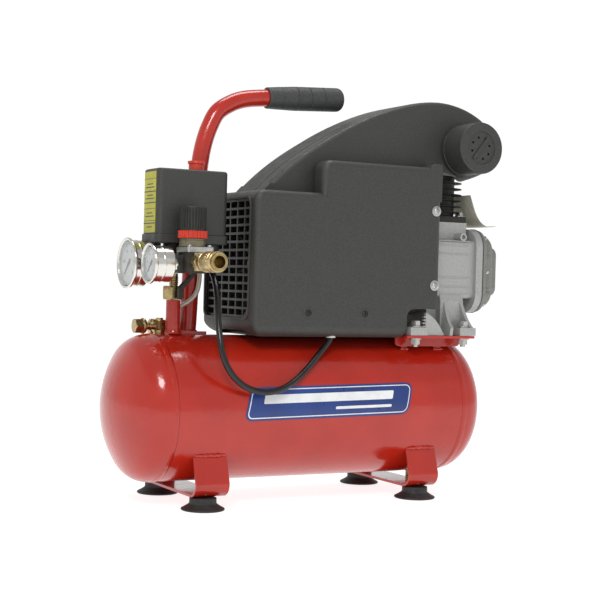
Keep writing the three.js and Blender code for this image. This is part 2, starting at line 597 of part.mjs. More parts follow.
// A square with rounded corners, centred on the crankshaft, drawn in Y and Z.
const crankSquare = (half, corner) => roundedRectangle(-half, half, MOTOR_Z - half,
  MOTOR_Z + half, corner);

// One side's two feet: two webs that spread as they come down, and a crescent rib.
function pumpFoot(side) {
  const span = (a, b) => (side < 0 ? [-b, -a] : [a, b]);
  const block = (a, b, c, d, top) => box(a, b, ...span(c, d), FOOT_BASE, top);
  const leg = outline([[30, 240], [44, 240], [50, 222], [58, 206], [69, FOOT_TOP],
    [69, FOOT_BASE], [30, FOOT_BASE]].map(([y, z]) => [y * side, z]));
  const web = (top, low) => pushed("y", outline([[low - 2, FOOT_BASE], [low + 2, FOOT_BASE],
    [top + 2, 240], [top - 2, 240]]), ...span(30, 69));
  const crescent = new THREE.Shape();
  crescent.moveTo(132, FOOT_BASE);
  crescent.lineTo(157, FOOT_BASE);
  crescent.quadraticCurveTo(149, 206, 132, 213);
  return union(
    block(178, 200, 46, 70, FOOT_TOP),
    block(110, 133, 52, 70, FOOT_TOP),
    block(112, 200, 38, 56, FOOT_BASE + 3),
    pushed("x", leg, 150, 205).intersect(union(web(173, 166), web(192, 196))),
    pushed("y", crescent, ...span(63, 67), 0, 6),
    block(132, 157, 54, 67, FOOT_BASE + 2.5),
  );
}

function crankcase() {
  const body = union(
    pushed("x", roundedRectangle(-45, 45, 230, 299, 5), 151, 214),
    box(CYLINDER_X - BLOCK_HALF, CYLINDER_X + BLOCK_HALF, -BLOCK_HALF, BLOCK_HALF, 290, 320),
    pushed("x", crankSquare(FLANGE_HALF, 23), 212, COVER_X - GAP),
    rod("x", 54, 118, 153, CRANK_AT),
    box(150, 200, -40, 40, FOOT_BASE, 236),
    pumpFoot(-1),
    pumpFoot(1),
  );
  return cut(body,
    rod("x", 40, 164, COVER_X + 5, CRANK_AT),
    rod("x", 10, 100, 170, CRANK_AT, 20),
    rod("x", 50, 110, 146, CRANK_AT),
    rod("z", 24, MOTOR_Z, 330, [CYLINDER_X, 0, 0]),
    box(154, 196, -36, 36, 180, 226));
}
add("crankcase", aluminium, crankcase());

// End cover: three squares with rounded corners, each smaller than the one behind it.
add("crankcase_cover", darkAluminium, union(
  pushed("x", crankSquare(49, 22), COVER_X, 228),
  pushed("x", crankSquare(42.5, 19), 227, 243, 2),
  pushed("x", crankSquare(29, 10), 238, 257, 2),
));

// Cylinder: a sleeve with a base flange and round cooling fins.
function cylinder() {
  const base = 320 + GAP;
  const profile = [[BORE_RADIUS, base], [28, base]];
  const pitch = 7;
  for (let z = base + 11; z < CYLINDER_TOP - 3; z += pitch) {
    profile.push([28, z], [FIN_RADIUS, z + 0.5], [FIN_RADIUS, z + 1.6], [28, z + 2.1]);
  }
  profile.push([28, CYLINDER_TOP], [BORE_RADIUS, CYLINDER_TOP]);
  const flange = cut(
    box(CYLINDER_X - BLOCK_HALF, CYLINDER_X + BLOCK_HALF, -BLOCK_HALF, BLOCK_HALF, base, base + 7),
    rod("z", BORE_RADIUS, base - 1, base + 8, [CYLINDER_X, 0, 0], 20),
  );
  return turned("z", profile, [CYLINDER_X, 0, 0], 16).add(flange);
}
add("cylinder", darkAluminium, cylinder());
add("cylinder_head", aluminium, union(
  pushed("z", roundedRectangle(151, 205, -27, 27, 6), CYLINDER_TOP + GAP, HEAD_TOP),
  rod("y", 7, 20, 30, [PORT_X - 6, 0, PORT_Z], 16),
));

// ---------------------------------------------------------------- motor and running gear
add("motor_stator", steel, turned("x", [[32, 30], [52, 30], [52, 116], [32, 116]], CRANK_AT, 24));
add("motor_end_bracket", darkAluminium, turned("x", [[9, 18], [53, 18], [53, 29.5], [9, 29.5]],
  CRANK_AT, 24));
add("rotor_shaft", steel, union(
  turned("x", [[0, -62], [6, -62], [6, 36], [30, 36], [30, 110], [8, 110], [8, 164.5],
    [26, 164.5], [26, 170], [0, 170]], CRANK_AT, 24),
  rod("x", 4, 169, 173, [0, 0, MOTOR_Z - CRANK_THROW], 12),
));

function coolingFan() {
  const hub = turned("x", [[6.4, -58], [16, -58], [16, -34], [6.4, -34]], CRANK_AT, 24);
  const blades = [];
  const count = 7;
  for (let i = 0; i < count; i += 1) {
    const blade = new THREE.BoxGeometry(20, 3, 40).translate(-46, 0, 34);
    blade.rotateX((i / count) * Math.PI * 2).translate(...CRANK_AT);
    blades.push(solid(blade));
  }
  return union(hub, ...blades);
}
add("cooling_fan", blackPlastic, coolingFan());

const PIN_Z = MOTOR_Z - CRANK_THROW + ROD_LENGTH;   // piston pin at the bottom of the stroke
add("connecting_rod", aluminium, cut(
  union(
    rod("x", 10, 173.5, 182.5, [0, 0, MOTOR_Z - CRANK_THROW], 20),
    rod("x", 8, 173.5, 182.5, [0, 0, PIN_Z], 20),
    box(174.5, 181.5, -4, 4, MOTOR_Z - CRANK_THROW + 5, PIN_Z - 5),
  ),
  rod("x", 5, 170, 186, [0, 0, MOTOR_Z - CRANK_THROW], 16),
  rod("x", 4.4, 170, 186, [0, 0, PIN_Z], 16),
));
add("piston", aluminium, union(
  turned("z", [[0, PIN_Z + 13], [BORE_RADIUS - 0.5, PIN_Z + 13], [BORE_RADIUS - 0.5, PIN_Z - 10],
    [15.5, PIN_Z - 10], [15.5, PIN_Z + 9], [0, PIN_Z + 9]], [CYLINDER_X, 0, 0], 24),
  rod("x", 4, CYLINDER_X - 16.5, CYLINDER_X + 16.5, [0, 0, PIN_Z], 16),
));

// ---------------------------------------------------------------- pump saddle on the receiver
// A plate across the receiver with a flange under each side, welded on by two small tabs.
function pumpSaddle() {
  const top = SADDLE_Z + SADDLE_THICKNESS;
  const flangeY = 44;
  const pieces = [box(106, 200, -70, 70, SADDLE_Z, top)];
  for (const y of [-flangeY, flangeY]) {
    pieces.push(box(105, 194, y - 1.5, y + 1.5, 173.2, top));
    pieces.push(box(113, 121, y - 1.5, y + 1.5, 150, 174));
    pieces.push(box(158, 168, y - 1.5, y + 1.5, 150, 174));
  }
  const bead = rod("x", TANK_RADIUS + BEAD_HEIGHT + GAP, TANK_SEAM_X - 2, 187, [0, 0, TANK_Z],
    TANK_SIDES);
  return cut(union(...pieces), tankClear, bead);
}
add("pump_saddle", redPaint, pumpSaddle());

// ---------------------------------------------------------------- motor cable
// It leaves the switch, hangs in a loop in front of the receiver and rises into the cowl.
const cableRoute = [[GLAND_X, GLAND_Y, 281], [GLAND_X, GLAND_Y, 266], [-121.9, -29, 253],
  [-124.5, -44, 242], [-128, -58, 226], [-131.2, -67, 211], [-133.4, -74.5, 197],
  [-134.2, -80.5, 184], [-133.6, -85, 170], [-128.6, -88, 154], [-120, -88.6, 142],
  [-108.5, -88.6, 133], [-95, -88.6, 127.5], [-80, -88.4, 125.8], [-65.5, -86.4, 128],
  [-50, -81.8, 133.4], [-37.1, -77, 140.5], [-23.9, -71.5, 149.8], [-11.6, -65.5, 159.3],
  [-2.7, -61.2, 166.6], [4.2, -58.2, 172.4], [9.6, -56.2, 177.5], [13, -55.1, 182.2],
  [BUSH_X, BUSH_Y, 187], [BUSH_X, BUSH_Y, 192]];
add("motor_cable", rubber, tube(cableRoute, 3.4, 8, 44));
add("motor_cable_bush", whitePlastic, turned("z", [[4.6, 183], [5.5, 183], [5.5, 193],
  [4.6, 193]], [BUSH_X, BUSH_Y, 0], 16));

// ---------------------------------------------------------------- origin
const bounds = new THREE.Box3().setFromObject(group);
const middle = bounds.getCenter(new THREE.Vector3());
group.position.set(-middle.x, -middle.y, -bounds.min.z);
group.updateMatrixWorld(true);

export default group;
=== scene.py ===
"""The looks of a small air compressor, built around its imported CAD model.

Shapes are drawn in the CAD part's own design frame: millimetres, the receiver's axis along X at
y = 0, the ground at z = 0. place() turns a point of that frame into the row frame, in metres.
"""
import math

import bmesh
import bpy
from mathutils import Matrix, Vector, noise


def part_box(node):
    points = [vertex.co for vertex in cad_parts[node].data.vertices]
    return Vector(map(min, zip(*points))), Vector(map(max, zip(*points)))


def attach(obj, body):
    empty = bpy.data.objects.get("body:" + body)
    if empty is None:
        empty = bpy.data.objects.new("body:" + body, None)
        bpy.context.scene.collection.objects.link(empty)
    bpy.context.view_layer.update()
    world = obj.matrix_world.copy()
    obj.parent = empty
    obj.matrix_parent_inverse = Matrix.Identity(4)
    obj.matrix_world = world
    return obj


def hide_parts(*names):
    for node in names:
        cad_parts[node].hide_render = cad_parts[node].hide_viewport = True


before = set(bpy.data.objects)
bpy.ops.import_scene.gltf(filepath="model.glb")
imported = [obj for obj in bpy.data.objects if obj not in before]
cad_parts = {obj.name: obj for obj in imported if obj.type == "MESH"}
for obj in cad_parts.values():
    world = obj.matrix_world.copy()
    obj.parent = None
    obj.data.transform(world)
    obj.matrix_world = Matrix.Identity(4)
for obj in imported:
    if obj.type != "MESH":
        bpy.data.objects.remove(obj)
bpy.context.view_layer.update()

# ------------------------------------------------------------------ the design frame
MM = 0.001
barrel_low, barrel_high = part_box("tank_barrel")
ORIGIN = Vector(((barrel_low.x + barrel_high.x) / 2, (barrel_low.y + barrel_high.y) / 2, 0))
TO_ROW = Matrix.Translation(ORIGIN) @ Matrix.Diagonal((MM, MM, MM, 1))


def place(x, y, z):
    return TO_ROW @ Vector((x, y, z))


# ------------------------------------------------------------------ camera
CAMERA_TURNS = (-28.35, 0.73, 1.59)     # heading, pitch and roll in degrees
CAMERA_TARGET = (5.23, 0, 221.86)
CAMERA_DISTANCE = 1.5934                # metres
SENSOR_WIDTH, FOCAL_LENGTH = 36, 82.95


def add_camera():
    heading, pitch, roll = (math.radians(turn) for turn in CAMERA_TURNS)
    forward = Vector((-math.sin(heading) * math.cos(pitch), math.cos(heading) * math.cos(pitch),
                      -math.sin(pitch)))
    right = Vector((math.cos(heading), math.sin(heading), 0))
    up = right.cross(forward)
    across = right * math.cos(roll) + up * math.sin(roll)
    upright = up * math.cos(roll) - right * math.sin(roll)
    data = bpy.data.cameras.new("camera")
    data.sensor_width = SENSOR_WIDTH
    data.lens = FOCAL_LENGTH
    camera = bpy.data.objects.new("camera", data)
    bpy.context.scene.collection.objects.link(camera)
    turn = Matrix((across, upright, -forward)).transposed().to_4x4()
    eye = place(*CAMERA_TARGET) - forward * CAMERA_DISTANCE
    camera.matrix_world = Matrix.Translation(eye) @ turn
    bpy.context.scene.camera = camera


add_camera()

# ------------------------------------------------------------------ driving dimensions, mm
TANK_RADIUS = 80
TANK_Z = 103.2
TANK_SEAM_X = 177
TANK_ENDS = {"left": 228, "right": 226}
HEAD_KNUCKLE = 30
STRAP_X = (-135, 130)
FOOT_X = (-140.5, 126)
FOOT_Y = 62.5
DRAIN = (159, 17)
FITTING_Z = 260
OUTLET = (-155, -50)
SWITCH = {"x0": -188.5, "x1": -106, "y0": -33, "y1": 10.5, "base": 282, "split": 291.5, "top": 361.5}
KNOB = (-136, -11)
HANDLE_Y = 22
COWL = {"x0": -89, "x1": 150, "half": 67, "bottom": 183.7, "low": 343, "high": 380, "step": -7,
        "step_y": -40}
WALL = 2.5
DUCT_FRONT, DUCT_BACK, DUCT_SEAM = -38, 35, -14
DUCT_SEAM_GAP = 1.6
MOTOR_Z = 263
CYLINDER_X = 178
CYLINDER_AT = (CYLINDER_X, 0, 0)
RISER_AT = (-154, 0, 0)
FIN_RADIUS = 37
CYLINDER_TOP = 375
HEAD_TOP = 395.5
FILTER_AT = (196, 0, 405.5)
PORT = (206, 388)
SADDLE_Z = 183.6
GAP = 0.3
ROUND = 64                         # sides of an ordinary round bar
FINE = 192                         # sides of the receiver, the largest round shape
SIDES = ((-1, "front"), (1, "rear"))
ENDS = ("left", "right")
MOTOR_GLAND = (-121, -22)
MAINS_GLAND = (-178, 2)


# ------------------------------------------------------------------ outlines
def rounded_rectangle(a0, a1, b0, b1, radii, steps=8):
    """Corners in the order low-low, high-low, high-high, low-high."""
    if not isinstance(radii, (list, tuple)):
        radii = [radii] * 4
    centres = [(a0 + radii[0], b0 + radii[0]), (a1 - radii[1], b0 + radii[1]),
               (a1 - radii[2], b1 - radii[2]), (a0 + radii[3], b1 - radii[3])]
    points = []
    for corner, (centre, radius) in enumerate(zip(centres, radii)):
        for step in range(steps + 1):
            angle = math.pi + (corner + step / steps) * math.pi / 2
            points.append((centre[0] + radius * math.cos(angle), centre[1] + radius * math.sin(angle)))
    return points


def soften(points, radius, steps=4, closed=False):
    """Rounds the corners of a line of points with short curves."""
    count = len(points)
    result = []
    for i, point in enumerate(points):
        here = Vector(point)
        if not closed and i in (0, count - 1):
            result.append(tuple(here))
            continue
        before, after = Vector(points[i - 1]), Vector(points[(i + 1) % count])
        back, ahead = before - here, after - here
        reach = min(radius, back.length * 0.45, ahead.length * 0.45)
        if reach < 1e-4:
            result.append(tuple(here))
            continue
        first, last = here + back.normalized() * reach, here + ahead.normalized() * reach
        for step in range(steps + 1):
            t = step / steps
            result.append(tuple(first * (1 - t) ** 2 + here * (2 * t * (1 - t)) + last * t ** 2))
    return result


def inset(points, wall):
    """The same outline moved inwards."""
    count = len(points)
    area = sum(points[i][0] * points[(i + 1) % count][1] - points[(i + 1) % count][0] * points[i][1]
               for i in range(count))
    turning = 1 if area > 0 else -1
    result = []
    for i in range(count):
        here = Vector(points[i])
        first = (here - Vector(points[i - 1])).normalized()
        second = (Vector(points[(i + 1) % count]) - here).normalized()
        along = (first + second).normalized()
        inward = Vector((-along.y, along.x)) * turning
        result.append(tuple(here + inward * wall / max(0.5, along.dot(first))))
    return result


def bezier(start, first, second, end, steps):
    result = []
    for step in range(1, steps + 1):
        t = step / steps
        a, b, c, d = (1 - t) ** 3, 3 * t * (1 - t) ** 2, 3 * t * t * (1 - t), t ** 3
        result.append(tuple(a * start[k] + b * first[k] + c * second[k] + d * end[k] for k in (0, 1)))
    return result


def smooth_route(points, per_span):
    """A centripetal Catmull-Rom curve through the points."""
    points = [Vector(point) for point in points]
    padded = [points[0] * 2 - points[1], *points, points[-1] * 2 - points[-2]]
    result = []
    for i in range(1, len(padded) - 2):
        p0, p1, p2, p3 = padded[i - 1:i + 3]
        t1 = (p1 - p0).length ** 0.5
        t2 = t1 + (p2 - p1).length ** 0.5
        t3 = t2 + (p3 - p2).length ** 0.5
        for step in range(per_span):
            t = t1 + (t2 - t1) * step / per_span
            a1 = p0 * ((t1 - t) / t1) + p1 * (t / t1)
            a2 = p1 * ((t2 - t) / (t2 - t1)) + p2 * ((t - t1) / (t2 - t1))
            a3 = p2 * ((t3 - t) / (t3 - t2)) + p3 * ((t - t2) / (t3 - t2))
            b1 = a1 * ((t2 - t) / t2) + a2 * (t / t2)
            b2 = a2 * ((t3 - t) / (t3 - t1)) + a3 * ((t - t1) / (t3 - t1))
            result.append(b1 * ((t2 - t) / (t2 - t1)) + b2 * ((t - t1) / (t2 - t1)))
    result.append(points[-1])
    return result


# ------------------------------------------------------------------ solids: (points, faces)
AXES = {"x": lambda a, b, c: (c, a, b), "y": lambda a, b, c: (a, c, b), "z": lambda a, b, c: (a, b, c)}


def box(x0, x1, y0, y1, z0, z1):
    points = [(x, y, z) for x in (x0, x1) for y in (y0, y1) for z in (z0, z1)]
    faces = [(0, 1, 3, 2), (4, 6, 7, 5), (0, 4, 5, 1), (2, 3, 7, 6), (0, 2, 6, 4), (1, 5, 7, 3)]
    return points, faces


def outward(points, faces):
    """The same closed surface with its faces turned to look outwards."""
    volume = 0
    for face in faces:
        first = Vector(points[face[0]])
        for second, third in zip(face[1:], face[2:]):
            volume += first.dot(Vector(points[second]).cross(Vector(points[third])))
    return points, faces if volume > 0 else [tuple(reversed(face)) for face in faces]


def stack(rings, closed):
    """Joins rings of points, each a list or a single point, into a closed surface."""
    points, starts, faces = [], [], []
    for ring in rings:
        starts.append(len(points))
        points.extend(ring)
    count = max(len(ring) for ring in rings)
    pairs = list(zip(range(len(rings)), range(1, len(rings))))
    if closed:
        pairs.append((len(rings) - 1, 0))
    for first, second in pairs:
        for i in range(count):
            j = (i + 1) % count
            one = [starts[first] + (k if len(rings[first]) > 1 else 0) for k in (i, j)]
            two = [starts[second] + (k if len(rings[second]) > 1 else 0) for k in (j, i)]
            face = list(dict.fromkeys(one + two))
            if len(face) > 2:
                faces.append(tuple(face))
    if not closed:
        if len(rings[0]) > 1:
            faces.append(tuple(reversed(range(len(rings[0])))))
        if len(rings[-1]) > 1:
            faces.append(tuple(range(starts[-1], starts[-1] + len(rings[-1]))))
    return outward(points, faces)


def turned(axis, profile, at, sides=ROUND, ripple=None):
    """A profile of (radius, place along the axis) turned about an axis through at."""
    rings = []
    for radius, along in profile:
        if radius < 1e-6:
            ring = [AXES[axis](0, 0, along)]
        else:
            ring = []
            for i in range(sides):
                angle = i / sides * math.tau
                r = radius + (ripple(radius, along, angle) if ripple else 0)
                ring.append(AXES[axis](r * math.cos(angle), r * math.sin(angle), along))
        rings.append([tuple(p + q for p, q in zip(point, at)) for point in ring])
    return stack(rings, profile[0][0] > 1e-6 and profile[-1][0] > 1e-6)


def rod(axis, radius, start, end, at, sides=ROUND, end_radius=None):
    top = radius if end_radius is None else end_radius
    return turned(axis, [(0, start), (radius, start), (top, end), (0, end)], at, sides)


def pushed(axis, outline, start, end, edge=0, steps=5):
    """An outline pushed along an axis, its two rims rounded by edge. Along z the outline is
    drawn in X and Y, along y in X and Z, and along x in Y and Z."""
    def ring(inwards, along):
        flat = inset(outline, inwards) if inwards > 1e-6 else outline
        if axis == "y":
            return [(a, along, b) for a, b in flat]
        if axis == "x":
            return [(along, a, b) for a, b in flat]
        return [(a, b, along) for a, b in flat]
    rings = []
    for step in range(steps + 1 if edge else 1):
        angle = step / steps * math.pi / 2
        rings.append(ring(edge * (1 - math.sin(angle)), start + edge * (1 - math.cos(angle))))
    for step in range(steps + 1 if edge else 1):
        angle = (1 - step / steps) * math.pi / 2
        rings.append(ring(edge * (1 - math.sin(angle)), end - edge * (1 - math.cos(angle))))
    return stack(rings, False)


def tube(route, radius, sides=24):
    """A round bar along a list of points; radius may be a function of the place along it."""
    route = [Vector(point) for point in route]
    tangent = (route[1] - route[0]).normalized()
    side = tangent.orthogonal().normalized()
    rings = []
    for i, point in enumerate(route):
        ahead = route[min(i + 1, len(route) - 1)] - route[max(i - 1, 0)]
        turn = tangent.rotation_difference(ahead.normalized())
        tangent, side = ahead.normalized(), turn @ side
        other = tangent.cross(side)
        ring = []
        for k in range(sides):
            angle = k / sides * math.tau
            r = radius(i / (len(route) - 1), angle) if callable(radius) else radius
            ring.append(tuple(point + (side * math.cos(angle) + other * math.sin(angle)) * r))
        rings.append(ring)
    return stack(rings, False)


def hex_nut(axis, across_flats, start, end, at, hole=0, chamfer=1.0):
    corner = across_flats / math.sqrt(3)
    bar = rod(axis, corner, start, end, at, 6)
    crown = turned(axis, [(0, start), (across_flats / 2, start), (corner + 0.1, start + chamfer),
                          (corner + 0.1, end - chamfer), (across_flats / 2, end), (0, end)], at)
    nut = meet(bar, crown)
    return cut(nut, rod(axis, hole, start - 1, end + 1, at, 32)) if hole else nut


def together(*forms):
    """Several separate closed bodies in one form."""
    points, faces = [], []
    for more_points, more_faces in forms:
        base = len(points)
        points.extend(more_points)
        faces.extend(tuple(i + base for i in face) for face in more_faces)
    return points, faces


def mirrored_y(form):
    points, faces = form
    return [(x, -y, z) for x, y, z in points], [tuple(reversed(face)) for face in faces]


# ------------------------------------------------------------------ joining and cutting
def mesh_of(form, name="work"):
    mesh = bpy.data.meshes.new(name)
    mesh.from_pydata(form[0], [], form[1])
    work = bmesh.new()
    work.from_mesh(mesh)
    bmesh.ops.remove_doubles(work, verts=work.verts, dist=1e-4)
    work.to_mesh(mesh)
    work.free()
    return mesh


def combine(first, second, operation):
    pair = []
    for form in (first, second):
        item = bpy.data.objects.new("work", mesh_of(form))
        bpy.context.scene.collection.objects.link(item)
        pair.append(item)
    modifier = pair[0].modifiers.new("combine", "BOOLEAN")
    modifier.operation = operation
    modifier.solver = "MANIFOLD"
    modifier.object = pair[1]
    result = baked(pair[0])
    form = ([tuple(v.co) for v in result.vertices], [tuple(p.vertices) for p in result.polygons])
    if not form[1]:
        raise ValueError("a join or cut left nothing")
    for item in pair:
        old = item.data
        bpy.data.objects.remove(item)
        bpy.data.meshes.remove(old)
    bpy.data.meshes.remove(result)
    return form


def baked(item):
    graph = bpy.context.evaluated_depsgraph_get()
    graph.update()
    return bpy.data.meshes.new_from_object(item.evaluated_get(graph))


def union(first, *others):
    for other in others:
        first = combine(first, other, "UNION")
    return first


def cut(first, *others):
    for other in others:
        first = combine(first, other, "DIFFERENCE")
    return first


def meet(first, second):
    return combine(first, second, "INTERSECT")


# ------------------------------------------------------------------ materials
class Finish:
    """A Principled material whose colour, roughness and relief vary through noise."""

    def __init__(self, name, roughness, metallic=0.0, stretch=(1, 1, 1), **sockets):
        self.material = bpy.data.materials.new(name)
        self.material.use_nodes = True
        self.nodes = self.material.node_tree.nodes
        self.links = self.material.node_tree.links
        self.shader = self.nodes["Principled BSDF"]
        self.shader.inputs["Roughness"].default_value = roughness
        self.shader.inputs["Metallic"].default_value = metallic
        for socket, value in sockets.items():
            self.shader.inputs[socket.replace("_", " ")].default_value = value
        coordinates = self.nodes.new("ShaderNodeTexCoord")
        self.mapping = self.nodes.new("ShaderNodeMapping")
        self.mapping.inputs["Scale"].default_value = stretch
        self.links.new(coordinates.outputs["Object"], self.mapping.inputs["Vector"])
        self.roughness = roughness
        self.normal = None

    def noise(self, size, detail=2.0):
        """Noise with features about size millimetres across."""
        node = self.nodes.new("ShaderNodeTexNoise")
        node.inputs["Scale"].default_value = 1 / (size * MM)
        node.inputs["Detail"].default_value = detail
        self.links.new(self.mapping.outputs["Vector"], node.inputs["Vector"])
        return node.outputs["Fac"]

    def colours(self, first, second, size, detail=3.0, low=0.35, high=0.65):
        ramp = self.nodes.new("ShaderNodeValToRGB")
        ramp.color_ramp.elements[0].position = low
        ramp.color_ramp.elements[1].position = high
        ramp.color_ramp.elements[0].color = (*first, 1)
        ramp.color_ramp.elements[1].color = (*second, 1)
        self.links.new(self.noise(size, detail), ramp.inputs["Fac"])
        self.links.new(ramp.outputs["Color"], self.shader.inputs["Base Color"])
        return self

    def gloss(self, spread, size, detail=3.0):
        spreader = self.nodes.new("ShaderNodeMapRange")
        spreader.inputs["From Min"].default_value = 0.3
        spreader.inputs["From Max"].default_value = 0.7
        spreader.inputs["To Min"].default_value = self.roughness - spread
        spreader.inputs["To Max"].default_value = self.roughness + spread
        self.links.new(self.noise(size, detail), spreader.inputs["Value"])
        self.links.new(spreader.outputs["Result"], self.shader.inputs["Roughness"])
        return self

    def relief(self, height, size, detail):
        bump = self.nodes.new("ShaderNodeBump")
        bump.inputs["Distance"].default_value = height * MM
        self.links.new(self.noise(size, detail), bump.inputs["Height"])
        if self.normal:
            self.links.new(self.normal, bump.inputs["Normal"])
        self.normal = bump.outputs["Normal"]
        self.links.new(self.normal, self.shader.inputs["Normal"])
        return self


# A finish is its roughness and metal, its two colours with the size of their mottling and its
# detail, the spread and size of its gloss, its relief layers (height, size, detail), and sockets.
COAT = {"Coat_Weight": 0.3, "Coat_Roughness": 0.05}
THIN_COAT = {"Coat_Weight": 0.2, "Coat_Roughness": 0.1}
LENS = {"Alpha": 0.16, "Specular_IOR_Level": 0.7}
ALONG_SHEETS = {"stretch": (8, 1, 1)}
LOOKS = {
    "red_paint": (0.2, 0, (0.38, 0.013, 0.005), (0.44, 0.019, 0.008), 60, 3,
                  (0.04, 25), [(0.25, 7, 1), (0.05, 2.2, 1)], COAT),
    "black_plastic": (0.5, 0, (0.028, 0.029, 0.026), (0.042, 0.043, 0.038), 1.6, 4,
                      (0.06, 12), [(0.16, 1.1, 3)]),
    "smooth_plastic": (0.42, 0, (0.009, 0.009, 0.007), (0.016, 0.016, 0.012), 10, 3,
                       (0.05, 8), [(0.02, 1.2, 2)]),
    "black_metal": (0.38, 0.3, (0.016, 0.014, 0.011), (0.03, 0.027, 0.022), 9, 3,
                    (0.08, 6), [(0.06, 1.5, 2)]),
    "red_plastic": (0.34, 0, (0.52, 0.03, 0.012), (0.6, 0.042, 0.018), 14, 3,
                    (0.05, 6), [(0.02, 0.9, 2)]),
    "rubber": (0.62, 0, (0.016, 0.016, 0.016), (0.028, 0.028, 0.027), 5, 4,
               (0.08, 7), [(0.05, 0.8, 3)]),
    "grip_rubber": (0.55, 0, (0.032, 0.033, 0.034), (0.05, 0.051, 0.052), 2, 4,
                    (0.07, 6), [(0.09, 0.9, 3)]),
    "cable": (0.24, 0, (0.005, 0.005, 0.005), (0.009, 0.009, 0.009), 12, 3,
              (0.06, 9), [(0.04, 3, 2)]),
    "chrome": (0.16, 1, (0.66, 0.64, 0.6), (0.76, 0.74, 0.7), 25, 3, (0.04, 9), [(0.02, 6, 2)]),
    "brass": (0.3, 1, (0.4, 0.3, 0.13), (0.54, 0.43, 0.23), 6, 3, (0.08, 4), [(0.03, 1.1, 2)]),
    "aluminium": (0.5, 0.35, (0.35, 0.355, 0.34), (0.41, 0.415, 0.4), 2, 4,
                  (0.1, 5), [(0.14, 1.5, 3)]),
    "dark_aluminium": (0.5, 0.35, (0.19, 0.19, 0.175), (0.235, 0.235, 0.22), 2.2, 4,
                       (0.08, 5), [(0.14, 1.5, 3)]),
    "black_fins": (0.6, 0.2, (0.012, 0.012, 0.01), (0.022, 0.022, 0.019), 3, 4,
                   (0.08, 5), [(0.12, 1.4, 3)]),
    "machined": (0.34, 0.95, (0.45, 0.45, 0.43), (0.56, 0.56, 0.54), 8, 3,
                 (0.07, 3), [(0.03, 0.7, 2)]),
    "steel": (0.34, 0.95, (0.36, 0.36, 0.35), (0.48, 0.48, 0.47), 5, 3,
              (0.1, 3), [(0.04, 0.9, 2)]),
    "laminations": (0.4, 0.9, (0.3, 0.3, 0.3), (0.5, 0.5, 0.49), 6, 3,
                    (0.1, 5), [(0.2, 4, 2)], ALONG_SHEETS),
    "copper": (0.26, 1, (0.62, 0.27, 0.13), (0.8, 0.42, 0.25), 18, 3, (0.09, 6), [(0.03, 3, 2)]),
    "pale_tube": (0.34, 0.35, (0.44, 0.4, 0.32), (0.56, 0.52, 0.43), 14, 3,
                  (0.06, 5), [(0.03, 3, 2)]),
    "dial_white": (0.5, 0, (0.44, 0.45, 0.42), (0.5, 0.51, 0.48), 18, 3,
                   (0.05, 5), [(0.01, 1.5, 2)]),
    "print_black": (0.5, 0, (0.03, 0.03, 0.035), (0.05, 0.05, 0.055), 3, 3,
                    (0.05, 3), [(0.01, 1, 2)]),
    "clear_lens": (0.04, 0, (0.85, 0.9, 0.93), (0.9, 0.94, 0.96), 20, 3,
                   (0.02, 12), [(0.01, 8, 2)], LENS),
    "bonnet_grey": (0.45, 0.3, (0.15, 0.13, 0.08), (0.2, 0.175, 0.11), 6, 3,
                    (0.07, 4), [(0.05, 1.3, 2)]),
    "white_plastic": (0.45, 0, (0.62, 0.62, 0.57), (0.72, 0.72, 0.68), 8, 3,
                      (0.06, 5), [(0.03, 1.2, 2)]),
    "card": (0.75, 0, (0.58, 0.56, 0.45), (0.66, 0.64, 0.53), 4, 4, (0.06, 5), [(0.05, 1, 4)]),
    "yellow_label": (0.4, 0, (0.36, 0.34, 0.004), (0.42, 0.4, 0.008), 12, 3,
                     (0.06, 6), [(0.01, 2, 2)]),
    "blue_label": (0.3, 0, (0.008, 0.03, 0.16), (0.014, 0.05, 0.24), 70, 3,
                   (0.03, 9), [(0.01, 3, 2)], THIN_COAT),
    "white_label": (0.25, 0, (0.72, 0.73, 0.74), (0.8, 0.81, 0.82), 14, 3,
                    (0.04, 6), [(0.01, 2, 2)]),
}


def make_material(name, roughness, metallic, first, second, size, detail, gloss, reliefs, sockets=None):
    finish = Finish(name, roughness, metallic, **(sockets or {}))
    finish.colours(first, second, size, detail).gloss(*gloss)
    for relief in reliefs:
        finish.relief(*relief)
    return finish.material


MATERIALS = {name: make_material(name, *look) for name, look in LOOKS.items()}


# ------------------------------------------------------------------ pieces
def piece(name, form, finish, body="compressor", replaces=(), bevel=0.0, segments=2, sharp=32):
    """A finished mesh in the row frame that rides on a body and may stand for CAD nodes."""
    mesh = mesh_of(form, name)
    item = bpy.data.objects.new(name, mesh)
    bpy.context.scene.collection.objects.link(item)
    work = bmesh.new()
    work.from_mesh(mesh)
    bmesh.ops.dissolve_limit(work, angle_limit=math.radians(0.6), verts=work.verts,
                             edges=work.edges)
    work.to_mesh(mesh)
    work.free()
    if bevel:
        rounder = item.modifiers.new("bevel", "BEVEL")
        rounder.width = bevel
        rounder.segments = segments
        rounder.limit_method = "ANGLE"
        rounder.angle_limit = math.radians(sharp)
        item.data = baked(item)
        item.modifiers.clear()
        bpy.data.meshes.remove(mesh)
        item.data.name = name
    item.data.transform(TO_ROW)
    for polygon in item.data.polygons:
        polygon.use_smooth = True
    item.data.set_sharp_from_angle(angle=math.radians(sharp))
    item.modifiers.new("flat_faces", "WEIGHTED_NORMAL").keep_sharp = True
    item.data.materials.clear()
    item.data.materials.append(MATERIALS[finish])
    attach(item, body)
    if replaces:
        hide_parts(*([replaces] if isinstance(replaces, str) else replaces))
    return item


def keep(finish, *names):
    """CAD nodes whose shape stays, with a finished material."""
    for name in names:
        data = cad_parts[name].data
        data.materials.clear()
        data.materials.append(MATERIALS[finish])


